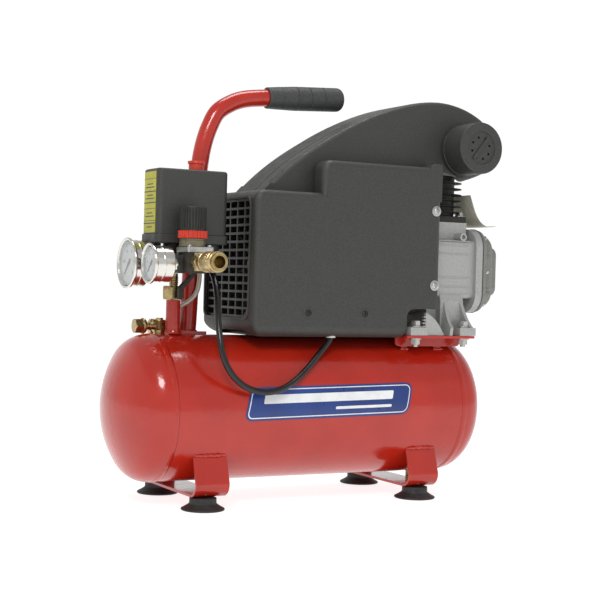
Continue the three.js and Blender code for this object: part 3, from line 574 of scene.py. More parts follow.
def bead(route, radius, seed, sides=12, wobble=0.35):
    """A weld bead: a bar whose thickness wanders as a hand-laid bead's does."""
    def thickness(along, angle):
        spot = Vector((along * 18 + seed, math.cos(angle) * 0.8, math.sin(angle) * 0.8))
        ends = min(1.0, 0.35 + 4 * along, 0.35 + 4 * (1 - along))
        return radius * ends * (1 + wobble * noise.noise(spot))
    return tube(route, thickness, sides)


def bolt_head(axis, across_flats, at, start, end, washer=0.0):
    """A hexagon head or nut with a washer under it, from start to end along the axis."""
    parts = [hex_nut(axis, across_flats, start, end, at)]
    if washer:
        away = 1 if end > start else -1
        low, high = sorted((start, start - away * washer))
        ring = turned(axis, soften([(0, low), (across_flats * 0.75, low),
                                    (across_flats * 0.75, high), (0, high)], 0.3, 2), at, 32)
        parts.append(ring)
    return union(*parts) if len(parts) > 1 else parts[0]


# ------------------------------------------------------------------ motor cable
BUSH = (13.5, -55)
CABLE_ROUTE = [(-121, -22, 281), (-121, -22, 266), (-121.9, -29, 253), (-124.5, -44, 242),
               (-128, -58, 226), (-131.2, -67, 211), (-133.4, -74.5, 197), (-134.2, -80.5, 184),
               (-133.6, -85, 170), (-128.6, -88, 154), (-120, -88.6, 142), (-108.5, -88.6, 133),
               (-95, -88.6, 127.5), (-80, -88.4, 125.8), (-65.5, -86.4, 128), (-50, -81.8, 133.4),
               (-37.1, -77, 140.5), (-23.9, -71.5, 149.8), (-11.6, -65.5, 159.3),
               (-2.7, -61.2, 166.6), (4.2, -58.2, 172.4), (9.6, -56.2, 177.5),
               (13, -55.1, 182.2), (*BUSH, 187), (*BUSH, FINE)]
CABLE_DIAMETER = 6.8


def motor_cable():
    points = [place(*point) for point in smooth_route(CABLE_ROUTE, 8)]
    data = bpy.data.curves.new("motor_cable_flex", "CURVE")
    data.dimensions = "3D"
    spline = data.splines.new("POLY")
    spline.points.add(len(points) - 1)
    for spot, point in zip(spline.points, points):
        spot.co = (*point, 1)
    data.bevel_depth = CABLE_DIAMETER / 2 * MM
    data.bevel_resolution = 7
    data.use_fill_caps = True
    spline.use_smooth = True
    data.materials.append(MATERIALS["cable"])
    flex = bpy.data.objects.new("motor_cable_flex", data)
    bpy.context.scene.collection.objects.link(flex)
    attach(flex, "compressor")
    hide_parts("motor_cable")


motor_cable()


# ------------------------------------------------------------------ receiver
def tank_pieces():
    shell = turned("x", [(TANK_RADIUS - 3, -TANK_SEAM_X), (TANK_RADIUS, -TANK_SEAM_X)]
                   + [(TANK_RADIUS, x) for x in (-118, -59, 0, 59, 118)]
                   + [(TANK_RADIUS, TANK_SEAM_X), (TANK_RADIUS - 3, TANK_SEAM_X)],
                   (0, 0, TANK_Z), FINE)
    piece("receiver_barrel", shell, "red_paint", replaces="tank_barrel")
    skirt, bead_end = 183, 184
    knuckle = TANK_RADIUS - HEAD_KNUCKLE
    for side, word in ((-1, "left"), (1, "right")):
        end = TANK_ENDS[word]
        depth = end - skirt
        crown = (knuckle ** 2 + depth ** 2 - HEAD_KNUCKLE ** 2) / (2 * (depth - HEAD_KNUCKLE))
        crown_x = end - crown
        meet_angle = math.atan2(knuckle, skirt - crown_x)
        profile = [(TANK_RADIUS - 3, TANK_SEAM_X + GAP)]
        seam = TANK_SEAM_X + GAP
        for step in range(9):
            t = step / 8
            profile.append((TANK_RADIUS + 0.95 * math.sin(math.pi * t) ** 0.8,
                            seam + (bead_end - seam) * t))
        for step in range(1, 17):
            angle = math.pi / 2 + (meet_angle - math.pi / 2) * step / 16
            profile.append((knuckle + HEAD_KNUCKLE * math.sin(angle),
                            max(skirt + HEAD_KNUCKLE * math.cos(angle), bead_end + 0.05)))
        for step in range(1, 17):
            angle = meet_angle * (1 - step / 16)
            profile.append((crown * math.sin(angle), crown_x + crown * math.cos(angle)))
        profile[-1] = (0, end)
        inner = [(0, end - 3), (knuckle, skirt + HEAD_KNUCKLE - 8)]
        loop = inner + profile
        profile = [(radius, x * side) for radius, x in loop]

        def ripple(radius, along, angle, seed=side * 7):
            if radius < TANK_RADIUS + 0.05:
                return 0
            wave = noise.noise(Vector((math.cos(angle) * 9, math.sin(angle) * 9, along * 0.5 + seed)))
            fine = noise.noise(Vector((math.cos(angle) * 40, math.sin(angle) * 40, seed)))
            return (radius - TANK_RADIUS) * (0.35 * wave + 0.3 * fine - 0.25)
        form = turned("x", profile, (0, 0, TANK_Z), FINE, ripple)
        piece(f"receiver_head_{word}", form, "red_paint", replaces=f"tank_head_{word}", sharp=40)


def foot_brackets():
    leg = [(-64, 62), (-76, 27), (-73, 19), (-65, 13.5)]
    for x, word in zip(STRAP_X, ENDS):
        outer = soften(leg + [(-y, z) for y, z in reversed(leg)], 7, 6)
        inner = inset(outer, 3)
        inner[0], inner[-1] = (-61, 66), (61, 66)
        strip = outer + list(reversed(inner))
        strap = pushed("x", strip, x - 19.5, x + 19.5)
        strap = cut(strap, rod("x", TANK_RADIUS + GAP, x - 30, x + 30, (0, 0, TANK_Z), FINE))
        piece(f"bracket_{word}", strap, "red_paint", replaces=f"foot_bracket_{word}", bevel=0.5)
        for side, where in SIDES:
            route = [(x - 19 + 38 * i / 36, side * (66.2 + 0.3 * math.sin(i)), 57.8) for i in range(37)]
            piece(f"bracket_{word}_weld_{where}", bead(route, 2.1, x + side, wobble=0.55),
                  "red_paint", sharp=50)


def rubber_feet():
    profile = soften([(0, 0), (22.6, 0), (23.5, 0.9), (23.3, 1.9), (18.6, 4.4), (15, 6.8),
                      (14.5, 8), (14.5, 13.2), (0, 13.2)], 0.9, 4)
    for x, word in zip(FOOT_X, ENDS):
        for side, where in SIDES:
            at = (x, side * FOOT_Y, 0)
            piece(f"foot_{where}_{word}", turned("z", profile, at, 72), "rubber",
                  replaces=f"rubber_foot_{where}_{word}", sharp=50)
            screw = bolt_head("z", 10, at, 17.8, 23, washer=1.2)
            piece(f"foot_bolt_{where}_{word}", screw, "steel")


def drain_valve():
    x, key_z = DRAIN
    body = union(turned("z", soften([(0, 13), (5, 13), (5, 22.9), (0, 22.9)], 0.8), (x, 0, 0)),
                 rod("y", 3, -9, 0, (x, 0, key_z), 32), hex_nut("z", 9.5, 17.5, 21, (x, 0, 0)))
    piece("drain_body", body, "brass", replaces="drain_valve_body")
    key = union(rod("y", 2.5, -14, -9.3, (x, 0, key_z), 32),
                box(x - 6.5, x + 6.5, -16, -13.5, key_z - 2.5, key_z + 2.5))
    piece("drain_key_wing", key, "brass", body="drain_key", replaces="drain_valve_key", bevel=0.5)


tank_pieces()
foot_brackets()
rubber_feet()
drain_valve()


# ------------------------------------------------------------------ name plate and label
PLATE_SAG = 0.02                   # the plate sits lower towards its left end, mm per mm


def wrapped_strip(bottom, top, lean, x0, x1, corner, inner, outer):
    """A leaning rounded plate bent round the receiver between two arc heights."""
    rows = []
    for step in range(25):
        t = 0.5 - 0.5 * math.cos(math.pi * step / 24)
        height = bottom + (top - bottom) * t
        reach = min(height - bottom, top - height)
        pull = corner - math.sqrt(max(0, corner ** 2 - (corner - reach) ** 2)) if reach < corner else 0
        shift = lean * t
        rows.append((height / TANK_RADIUS, x0 + shift + pull, x1 + shift - pull))
    rings = []
    for angle, low, high in rows:
        ring = []
        for x, radius in ((low, outer), (high, outer), (high, inner), (low, inner)):
            turn = angle + PLATE_SAG * (x - 101) / TANK_RADIUS
            ring.append((x, -radius * math.cos(turn), TANK_Z + radius * math.sin(turn)))
        rings.append(ring)
    return stack(rings, False)


def name_plate():
    low, high, lean = -4.8, 31, 9
    x0, x1 = -103, 102
    base = TANK_RADIUS + 0.08

    def layer(name, edge, thick, finish):
        slope = lean * (high - low - 2 * edge) / (high - low)
        shift = lean * edge / (high - low)
        form = wrapped_strip(low + edge, high - edge, slope, x0 + edge + shift, x1 - edge + shift,
                             max(1.0, 9 - edge), base, TANK_RADIUS + thick)
        piece(name, form, finish, sharp=25)
    layer("plate_base", 0, 0.45, "blue_label")
    layer("plate_line", 2.3, 0.55, "white_label")
    layer("plate_field", 3.4, 0.65, "blue_label")
    bars = [(13, 22.5, 2.4, -80, 82), (4.2, 7.2, 0.8, 8, 80)]
    for i, (bottom, top, slope, start, end) in enumerate(bars):
        form = wrapped_strip(bottom, top, slope, start, end, 1.4, base, TANK_RADIUS + 0.75)
        piece(f"plate_bar_{i}", form, "white_label", sharp=25)


def switch_label():
    face = SWITCH["x0"]
    piece("label_field", pushed("x", rounded_rectangle(-27, 4.8, 292.6, 358, 1, 3),
                                face - 0.35, face - 0.02), "yellow_label", sharp=25)
    lines = [pushed("x", rounded_rectangle(-26.4, 4.2, z, z + 0.5, 0.1, 1), face - 0.45, face - 0.3)
             for z in (305, 318, 350)]
    for row, z in enumerate((344, 340.5, 336, 332, 328.5, 324, 313, 309.5, 302, 298)):
        width = 8 + 4 * (row % 3)
        lines.append(pushed("x", rounded_rectangle(-11 - width, -11 + width, z, z + 1.1, 0.3, 1),
                            face - 0.45, face - 0.3))
    piece("label_bars", together(*lines), "print_black", sharp=25)


name_plate()
switch_label()


# ------------------------------------------------------------------ riser, manifold, bracket
def riser():
    at = RISER_AT

    def lumpy(radius, along, angle):
        near = max(0, 190 - along) / 7
        spot = Vector((math.cos(angle) * 3, math.sin(angle) * 3, along * 0.4))
        return near * 1.1 * noise.noise(spot) if radius > 6 else 0
    curve = [(11 - 3.2 * math.sin(t * math.pi / 16), 189 - 5.5 * math.cos(t * math.pi / 16))
             for t in range(9)]
    profile = [(5, 183.5), *curve, (7.8, 205), (7.8, 220), (7.3, 220.7), (5, 220.7)]
    piece("riser", turned("z", profile, at, 72, lumpy), "red_paint", replaces="riser_pipe", sharp=50)
    nipple = union(hex_nut("z", 21.5, 221, 236, at, 0, 1.6), rod("z", 4.5, 235, 249.7, at, 40),
                   *[turned("z", [(0, z), (4.6, z), (5.4, z + 0.6), (4.6, z + 1.2), (0, z + 1.2)], at, 40)
                     for z in (237.5, 239.4, 241.3, 243.2, 245.1)])
    piece("riser_union", cut(nipple, rod("z", 3, 220, 250, at, 32)), "brass",
          replaces="riser_nipple", sharp=28)


def manifold():
    body = union(
        rod("z", 13, 250, 281.7, RISER_AT),
        box(-168, -142, OUTLET[1], 0, 251, 271),
        rod("z", 16, 250, 271.7, (*OUTLET, 0)),
        box(-172, -160, -8, 8, 251, 269),
        box(-172, -160, OUTLET[1] - 8, OUTLET[1] + 8, 251, 269))
    piece("manifold_block", body, "black_metal", replaces="manifold", bevel=0.9)
    strip = [(-156, 222), (-151, 222), (-151, 232.5), (-133, 252.5), (-133, 281.7),
             (-136.5, 281.7), (-136.5, 254.5), (-156, 234)]
    piece("switch_stay", pushed("y", strip, -20, -13.5), "black_metal", replaces="switch_bracket",
          bevel=0.5)


def regulator():
    at = (*OUTLET, 0)
    plate = cut(pushed("z", rounded_rectangle(-167, -136.5, -66, -34, 2.5), 272, 278),
                rod("z", 6, 271, 279, at, 32))
    piece("regulator_plate", plate, "machined", replaces="regulator_flange", bevel=0.5)
    screws = []
    for x in (-163, -140.5):
        for y in (-61.5, -38.5):
            dome = turned("z", soften([(0, 278.1), (2.9, 278.1), (2.9, 279.4), (2.0, 280.4), (0, 280.4)],
                                      0.5), (x, y, 0), 32)
            slots = [box(x - 2, x + 2, y - 0.35, y + 0.35, 279.5, 281),
                     box(x - 0.35, x + 0.35, y - 2, y + 2, 279.5, 281)]
            screws.append(cut(dome, *slots))
    piece("regulator_screws", together(*screws), "steel")
    bonnet = soften([(6, 278.3), (14, 278.3), (14, 284.2), (13.2, 284.8), (14, 285.4), (14, 286.7),
                     (6, 286.7)], 0.4, 2, True)
    piece("bonnet", turned("z", bonnet, at), "bonnet_grey", replaces="regulator_bonnet")

    def teeth(radius, along, angle):
        return -0.9 if radius > 15 and math.cos(24 * angle) < -0.15 else 0
    ring = soften([(6, 287), (15.6, 287), (15.6, 295), (6, 295)], 0.6, 3, True)
    piece("lock_ring_teeth", turned("z", ring, at, 240, teeth), "red_plastic", body="lock_ring",
          replaces="regulator_lock_ring", sharp=35)

    def ribs(radius, along, angle):
        inside = 297 < along < 319.2 and radius > 13
        return -0.75 if inside and math.cos(30 * angle) < -0.3 else 0
    knob = [(0, 274), (5, 274), (5, 295.3), (14.5, 295.3), (14.5, 296.8), (14.2, 297.4),
            (14.3, 305), (14.3, 318.8), (13.9, 319.8), (12.8, 320.5), (11.2, 320.5),
            (10.6, 319.9), (0, 319.9)]
    piece("regulator_cap", turned("z", knob, at, 240, ribs), "smooth_plastic",
          body="regulator_knob", replaces="regulator_knob", sharp=35)


riser()
manifold()
regulator()


# ------------------------------------------------------------------ gauges
def dial_number(words, size, x, y, z):
    """A number standing proud of a dial that faces -X."""
    data = bpy.data.curves.new("number", "FONT")
    data.body = words
    data.size = size
    data.align_x = "CENTER"
    data.align_y = "CENTER"
    data.extrude = 0.05
    data.resolution_u = 2
    item = bpy.data.objects.new("number", data)
    bpy.context.scene.collection.objects.link(item)
    mesh = baked(item)
    points = [(x - v.co.z, y - v.co.x, z + v.co.y) for v in mesh.vertices]
    form = (points, [tuple(p.vertices) for p in mesh.polygons])
    bpy.data.objects.remove(item)
    bpy.data.meshes.remove(mesh)
    return outward(*form)


def gauge(name, y, radius, front, back, numbers):
    at = (0, y, FITTING_Z - 1)
    can = radius - 2.5
    bore = can - 1
    profile = [(0, back), (can - 1, back), (can, back - 1), (can, (front + back) / 2 + 1.5),
               (can + 0.35, (front + back) / 2 + 1), (can + 0.35, (front + back) / 2 - 0.2),
               (can, (front + back) / 2 - 0.7), (can, front + 4.2), (radius - 0.6, front + 3.4),
               (radius, front + 2.4), (radius, front + 0.9), (radius - 0.8, front),
               (bore + 1.1, front + 0.3), (bore, front + 1.2), (bore, back - 2),
               (0, back - 2)]
    can_form = turned("x", soften(profile, 0.5, 2), at, 96)
    case = union(can_form, hex_nut("x", 11, back - 1, -172.3, at, 0, 0.6))
    piece(f"{name}_gauge_can", case, "chrome", replaces=f"{name}_gauge_case", sharp=30)
    dial_x = front + 4
    piece(f"{name}_gauge_face", turned("x", [(1.8, dial_x), (bore - 0.5, dial_x),
          (bore - 0.5, dial_x + 1), (1.8, dial_x + 1)], at, 96), "dial_white",
          replaces=f"{name}_gauge_dial")
    marks = []
    for step in range(51):
        turn = math.radians(-45 + 270 * step / 50)
        long = step % 10 == 0
        length = bore * (0.14 if long else 0.08)
        width = 0.5 if long else 0.22
        out = bore * 0.9
        along = Vector((math.cos(turn), math.sin(turn)))
        across = Vector((-along.y, along.x)) * width / 2
        corners = [along * out + across, along * out - across, along * (out - length) - across,
                   along * (out - length) + across]
        flat = [(y + c.x, at[2] + c.y) for c in corners]
        marks.append(pushed("x", flat, dial_x - 0.12, dial_x - 0.01))
        if long:
            spot = along * bore * 0.6
            marks.append(dial_number(numbers[step // 10], bore * 0.2, dial_x - 0.08,
                                     y + spot.x, at[2] + spot.y))
    ring = turned("x", [(bore * 0.9, dial_x - 0.12), (bore * 0.915, dial_x - 0.12),
                        (bore * 0.915, dial_x - 0.01), (bore * 0.9, dial_x - 0.01)], at, 96)
    piece(f"{name}_gauge_scale", together(ring, *marks), "print_black", sharp=25)
    keep("print_black", f"{name}_gauge_needle")
    lens = turned("x", soften([(0, front + 0.6), (bore - 0.4, front + 0.6), (bore - 0.4, front + 1.8),
                               (0, front + 1.8)], 0.3, 2), at, 96)
    piece(f"{name}_gauge_glass", lens, "clear_lens", replaces=f"{name}_gauge_lens")


gauge("tank", 0, 27.8, -210.4, -190.9, ("12", "10", "8", "6", "4", "0"))
gauge("outlet", OUTLET[1], 21.6, -205, -181, ("10", "8", "6", "4", "2", "0"))


# ------------------------------------------------------------------ quick coupler
def quick_coupler():
    at = (OUTLET[0], 0, FITTING_Z + 2)
    body = [(0, -96), (5.25, -96), (5.25, -116), (6.3, -118.6), (6.5, -120), (7, -120),
            (7.2, -119.5), (7.9, -119.5), (8.1, -120), (9, -120), (9, -117.2), (7.6, -117.2),
            (7.6, -87), (8.8, -86.4), (8.8, -84), (7.6, -83.4), (7.6, -82.5), (9.5, -82.5),
            (9.5, -66.4), (0, -66.4)]
    form = union(turned("y", body, at, 72), hex_nut("y", 19, -80, -66.4, at, 0, 1.4))
    piece("coupler", form, "brass", replaces="coupler_body", sharp=28)
    sleeve = [(8, -116.9), (9.9, -116.9), (10.9, -116.1), (11, -115.4), (11, -112), (10.1, -111.5),
              (10.1, -110), (11, -109.5), (11, -106), (10.4, -105.6), (10.4, -104.4), (11, -104),
              (11, -92.5), (10.3, -92), (10.3, -90.5), (11, -90), (11, -89), (10.2, -88), (8, -88)]

    def knurl(radius, along, angle):
        return -0.35 if -104 <= along <= -92 and radius > 10.9 and math.cos(40 * angle) < 0 else 0
    rows = []
    for (r0, a0), (r1, a1) in zip(sleeve, sleeve[1:]):
        rows.append((r0, a0))
        if a0 == -104:
            rows.extend([(11, -103.9), (11, -92.6)])
    rows.append(sleeve[-1])
    piece("coupler_grip", turned("y", rows, at, 160, knurl), "brass", body="coupler_sleeve",
          replaces="coupler_sleeve", sharp=28)


quick_coupler()


# ------------------------------------------------------------------ pressure switch
def pressure_switch():
    def outline(grow, radius):
        return rounded_rectangle(SWITCH["x0"] - grow, SWITCH["x1"] + grow, SWITCH["y0"] - grow,
                                 SWITCH["y1"] + grow, radius, 8)
    base = cut(pushed("z", outline(1.2, 6), SWITCH["base"], SWITCH["split"], 0.8, 3),
               pushed("z", outline(-3, 3), SWITCH["base"] + 4, SWITCH["split"] + 1))
    piece("switch_tray", base, "black_plastic", replaces="switch_base")
    low = SWITCH["split"] + GAP
    cover = pushed("z", outline(0, 6), low - 4, SWITCH["top"], 3, 6)
    cover = cut(cover, box(-300, 0, -100, 100, 200, low),
                pushed("z", outline(-2.2, 4), SWITCH["split"] - 1, SWITCH["top"] - 2.2),
                rod("z", 8.6, SWITCH["split"], SWITCH["top"] + 5, (*KNOB, 0)))
    collar = cut(turned("z", soften([(0, 361), (10.6, 361), (10.2, 362.2), (0, 362.2)], 0.4),
                        (*KNOB, 0)), rod("z", 8.6, 355, 365, (*KNOB, 0)))
    piece("switch_hood", union(cover, collar), "black_plastic", replaces="switch_cover", sharp=38)
    knob = [(0, 328), (4, 328), (4, 350), (7.6, 350), (8, 350.5), (8, 368.7), (8.4, 369.2),
            (9.1, 369.5), (9.2, 370.2), (9.2, 371.8), (8.8, 372.5), (3.5, 372.5), (3.2, 372.1), (0, 372.1)]
    piece("switch_button", turned("z", knob, (*KNOB, 0), 72), "red_plastic", body="switch_knob",
          replaces="switch_knob", sharp=35)
    keep("black_plastic", "switch_contact_block")
    motor = [(4.1, 268), (4.9, 268), (5.3, 268.6), (5.9, 270.6), (5.5, 271.1), (6.3, 272.6), (6, 273.2),
             (7.4, 275), (9, 276), (9, 281.7), (4.1, 281.7)]
    piece("motor_cable_relief", turned("z", motor, (*MOTOR_GLAND, 0), 48), "rubber",
          replaces="motor_cable_gland")
    mains = [(3.8, 270), (5.8, 270), (6.4, 271.4), (6.1, 272), (7.1, 273.6), (8, 276), (8, 281.7),
             (3.8, 281.7)]
    piece("mains_cable_relief", turned("z", mains, (*MAINS_GLAND, 0), 48), "rubber",
          replaces="mains_cable_gland")
    bush = soften([(4.6, 183), (5.5, 183), (5.5, 193), (4.6, 193)], 0.3, 3, True)
    piece("cowl_cable_bush", turned("z", bush, (*BUSH, 0), 48), "white_plastic",
          replaces="motor_cable_bush")


pressure_switch()


# ------------------------------------------------------------------ carrying handle
GRIP_START = (-36, HANDLE_Y, 453.6)
GRIP_END = (62, HANDLE_Y, 459.6)
HANDLE_ROUTE = [(-127.2, HANDLE_Y, 176), (-124.8, HANDLE_Y, 240), (-121.6, HANDLE_Y, 310),
                (-117, HANDLE_Y, 372), (-112.6, HANDLE_Y, 396.5), (-106, HANDLE_Y, 416),
                (-97.2, HANDLE_Y, 432), (-82.5, HANDLE_Y, 442.5), (-66, HANDLE_Y, 449.2),
                GRIP_START, (-15, HANDLE_Y, 454.9), (20, HANDLE_Y, 457), (46, HANDLE_Y, 458.6)]
HANDLE_RADIUS = 9.75
TANK_CLEAR = rod("x", TANK_RADIUS + GAP, -200, 200, (0, 0, TANK_Z), FINE)


def carrying_handle():
    bar = cut(tube(smooth_route(HANDLE_ROUTE, 7), HANDLE_RADIUS, 48), TANK_CLEAR)
    shell = cut(rod("x", TANK_RADIUS + 3.5, -143, -109, (0, 0, TANK_Z), FINE), TANK_CLEAR)
    foot = meet(shell, pushed("z", rounded_rectangle(-143, -109, 6, 39, 4), 150, 200))
    piece("handle", union(bar, foot), "red_paint", replaces="handle_tube", sharp=40)
    ring = []
    for i in range(41):
        angle = i / 40 * math.tau
        x, y = -126.9 + 10.4 * math.cos(angle), HANDLE_Y + 10.6 * math.sin(angle)
        ring.append((x, y, TANK_Z + math.sqrt((TANK_RADIUS + 4.2) ** 2 - y ** 2)))
    piece("handle_weld", bead(ring, 1.5, 3, wobble=0.5), "red_paint", sharp=50)

    start, end = Vector(GRIP_START), Vector(GRIP_END)
    length = (end - start).length
    hole = HANDLE_RADIUS + 0.5
    profile = [(hole, 0), (11.6, 0), (12.2, 0.6), (12.3, 3)]
    for place_at in (17.6, 36, 53, 71):
        radius = 12.3 + 1.6 * min(1, place_at / 36)
        profile += [(radius, place_at - 1.1), (radius - 0.9, place_at - 0.4),
                    (radius - 0.9, place_at + 0.4), (radius, place_at + 1.1)]
    profile += [(13.9, length - 8.5)]
    for step in range(1, 9):
        angle = step / 8 * math.pi / 2
        profile.append((6.9 + 7 * math.cos(angle), length - 7 + 7 * math.sin(angle)))
    profile += [(0, length)]
    inner = [(0, length - 15), (hole, length - 15)]
    points, faces = turned("z", inner + profile, (0, 0, 0), 72)
    turn = Vector((0, 0, 1)).rotation_difference(end - start)
    points = [tuple(turn @ Vector(point) + start) for point in points]
    piece("grip", (points, faces), "grip_rubber", replaces="handle_grip", sharp=50)


carrying_handle()


# ------------------------------------------------------------------ check valve and pipes
CHECK = (-162, 18)
BRANCH_Z = 191.3
BRANCH_AT = (CHECK[0], 0, BRANCH_Z)
UNLOADER_TOP = (-120.5, 8, 0)


def check_valve():
    at = (*CHECK, 0)
    body = union(
        rod("z", 6.5, 179.5, 196.5, at, 40),
        hex_nut("z", 14, 187, 198.5, at, 0, 1.2),
        rod("z", 4, 197.5, 200.5, at, 32),
        rod("y", 6, CHECK[1], CHECK[1] + 12, BRANCH_AT, 40),
        hex_nut("y", 13, CHECK[1] + 6, CHECK[1] + 12, BRANCH_AT, 0, 1),
        turned("x", [(0, -180), (4, -180), (4, -176), (4.6, -175.4), (4.6, -173.4), (4, -172.8),
                     (4, -145), (0, -145)], (0, CHECK[1], BRANCH_Z), 40),
        hex_nut("x", 15, -192, -179, (0, CHECK[1], BRANCH_Z), 0, 1.6),
        turned("x", soften([(0, -183), (8.9, -183), (8.9, -181), (0, -181)], 0.5),
               (0, CHECK[1], BRANCH_Z), 48))
    piece("tank_valve", body, "brass", replaces="check_valve", sharp=28)


def pipes():
    route = [(-120.5, 8, 281.7), (-120.5, 8, 262), (-120, 8, 243), (-123, 8.5, 229),
             (-131, 10, 219.5), (-139.5, 14, 213.5), (-145.5, 17, 207), (-148.2, 18, 201),
             (-148.5, 18, 196)]
    piece("unloader", tube(smooth_route(route, 8), 2.6, 24), "pale_tube",
          replaces="unloader_tube", sharp=50)
    lower, lower_hole = (-148.5, 18, 0), (-148.4, 18, 0)
    nuts = together(
        cut(hex_nut("z", 9, 276.5, 281.6, UNLOADER_TOP), rod("z", 2.8, 270, 290, UNLOADER_TOP, 32)),
        cut(hex_nut("z", 8.5, 195.6, 200, lower), rod("z", 2.9, 190, 205, lower_hole, 32)))
    piece("unloader_nuts", nuts, "brass", sharp=28)
    x, z = PORT
    route = [(CHECK[0], 30.7, BRANCH_Z), (CHECK[0], 38, BRANCH_Z), (-160, 46, 188),
             (-152, 56, 178), (-132, 59, 171), (-60, 59, 169.5), (60, 59, 169.5), (180, 59, 169.5),
             (206, 60, 172), (216, 61, 186), (217, 61, 230), (217, 60, 330), (216, 59, 368),
             (212, 54, 384), (x, 43, z), (x, 30.5, z)]
    piece("delivery", tube(smooth_route(route, 7), 5, 32), "copper", replaces="delivery_pipe",
          sharp=50)
    nuts = together(hex_nut("y", 15, 36.4, 44, (x, 0, z), 5.2), hex_nut("y", 15, 30.6, 37.5,
                    BRANCH_AT, 5.2))
    piece("delivery_nuts", nuts, "brass", sharp=28)


check_valve()
pipes()


# ------------------------------------------------------------------ motor cowl
def pan_screw(at, axis, out, radius, height, washer=0.0):
    """A domed cross-head screw whose head stands out from the face at along the axis."""
    index = "xyz".index(axis)
    face = at[index]
    profile = [(0, 0), (radius, 0), (radius, height * 0.45), (radius * 0.82, height * 0.8),
               (radius * 0.5, height), (0, height)]
    if washer:
        profile = [(0, 0), (washer, 0), (washer, 0.7), (radius, 0.9)] + profile[2:]
    profile = [(r, face + out * a) for r, a in soften(profile, 0.3, 2)]
    centre = [0 if i == index else c for i, c in enumerate(at)]
    head = turned(axis, profile, centre, 40)
    reach, thin = radius * 0.62, radius * 0.16
    low, high = sorted((face + out * height * 0.4, face + out * (height + 1)))
    others = [i for i in range(3) if i != index]
    for wide, narrow in (others, others[::-1]):
        span = [None] * 3
        span[index] = (low, high)
        span[wide] = (centre[wide] - reach, centre[wide] + reach)
        span[narrow] = (centre[narrow] - thin, centre[narrow] + thin)
        head = cut(head, box(*span[0], *span[1], *span[2]))
    return head


GRILLE = {"y0": -53, "y1": 60, "z0": 203, "z1": 334, "columns": 6, "rows": 14, "bar": 2.6}


def cowl_solid(wall):
    c = COWL
    low = rounded_rectangle(c["x0"] + wall, c["x1"] - wall, c["bottom"] + wall, c["low"] - wall,
                            [15 - wall, 8 - wall, 8 - wall, 12 - wall])
    high = rounded_rectangle(c["step"] + wall, c["x1"] - wall, c["bottom"] + 80, c["high"] - wall,
                             [8 - wall, 8 - wall, 10 - wall, 12 - wall])
    ends = rounded_rectangle(-c["half"] + wall, c["half"] - wall, c["bottom"] + wall, c["high"] + 20,
                             [12 - wall, 30 - wall, 8 - wall, 8 - wall])
    solid = union(pushed("y", low, -c["half"] + wall, c["half"] - wall, 7 - wall, 6),
                  pushed("y", high, -c["half"] + wall, c["step_y"] - wall, 7 - wall, 6))
    if not wall:
        lip = rounded_rectangle(132, 149.8, 340, 384, [1, 3, 3, 10])
        solid = union(solid, pushed("y", lip, -c["half"], c["step_y"], 1, 3))
    return meet(solid, pushed("x", ends, c["x0"] - 5, c["x1"] + 5))


def front_and_rear(name, shell, seam, away, low):
    """Two half shells, each ending away from the seam between them."""
    beyond = {"front": box(-200, 300, seam - away, 200, low, 500),
              "rear": box(-200, 300, -200, seam + away, low, 500)}
    for _, word in SIDES:
        piece(f"{name}_{word}_shell", cut(shell, beyond[word]), "black_plastic",
              replaces=f"{name}_{word}", sharp=38)


def motor_cowl():
    c, g = COWL, GRILLE
    shell = cut(cowl_solid(0), cowl_solid(WALL))
    window = pushed("x", rounded_rectangle(g["y0"], g["y1"], g["z0"], g["z1"], [22, 9, 9, 9]),
                    c["x0"] - 5, c["x0"] + 12)
    window = meet(window, box(-200, 200, g["y0"], g["y1"], g["z0"], g["z1"]))
    arch = pushed("x", soften([(-48, 178), (-48, 187), (-30, 189), (20, 189), (36, 187), (36, 178)],
                              4, 4), c["x0"] - 5, c["x0"] + 20)
    notches = []
    for y0, y1 in ((-80, -36), (36, 80)):
        notches.append(pushed("y", soften([(105, 182), (106.5, 212), (112, 217), (155, 217),
                                           (155, 182)], 5, 4), y0, y1))
    shell = cut(
        shell, window, arch, *notches,
        box(c["x1"] - 12, c["x1"] + 5, -58, 58, c["bottom"] - 5, c["low"] - 12),
        rod("z", FIN_RADIUS + 2, 300, c["high"], CYLINDER_AT),
        box(-40, 120, DUCT_FRONT + 8, DUCT_BACK - 8, c["low"] - 8, c["low"] + 5),
        rod("z", 5.9, c["bottom"] - 5, c["bottom"] + 8, (*BUSH, 0), 48),
        box(104, c["x1"] + 5, -80, 80, c["bottom"] - 5, SADDLE_Z + 3 + GAP))
    front_and_rear("cowl", shell, 0, GAP / 2, 100)
    rim_outer = rounded_rectangle(g["y0"] - 2.2, g["y1"] + 2.2, g["z0"] - 2.2, g["z1"] + 2.2, 10)
    rim_inner = rounded_rectangle(g["y0"] + 0.3, g["y1"] - 0.3, g["z0"] + 0.3, g["z1"] - 0.3, 9)
    rim = cut(pushed("x", rim_outer, c["x0"] - 1.1, c["x0"] + 0.5, 0.5, 3),
              pushed("x", rim_inner, c["x0"] - 3, c["x0"] + 3))
    piece("grille_rim", rim, "black_plastic", sharp=38)


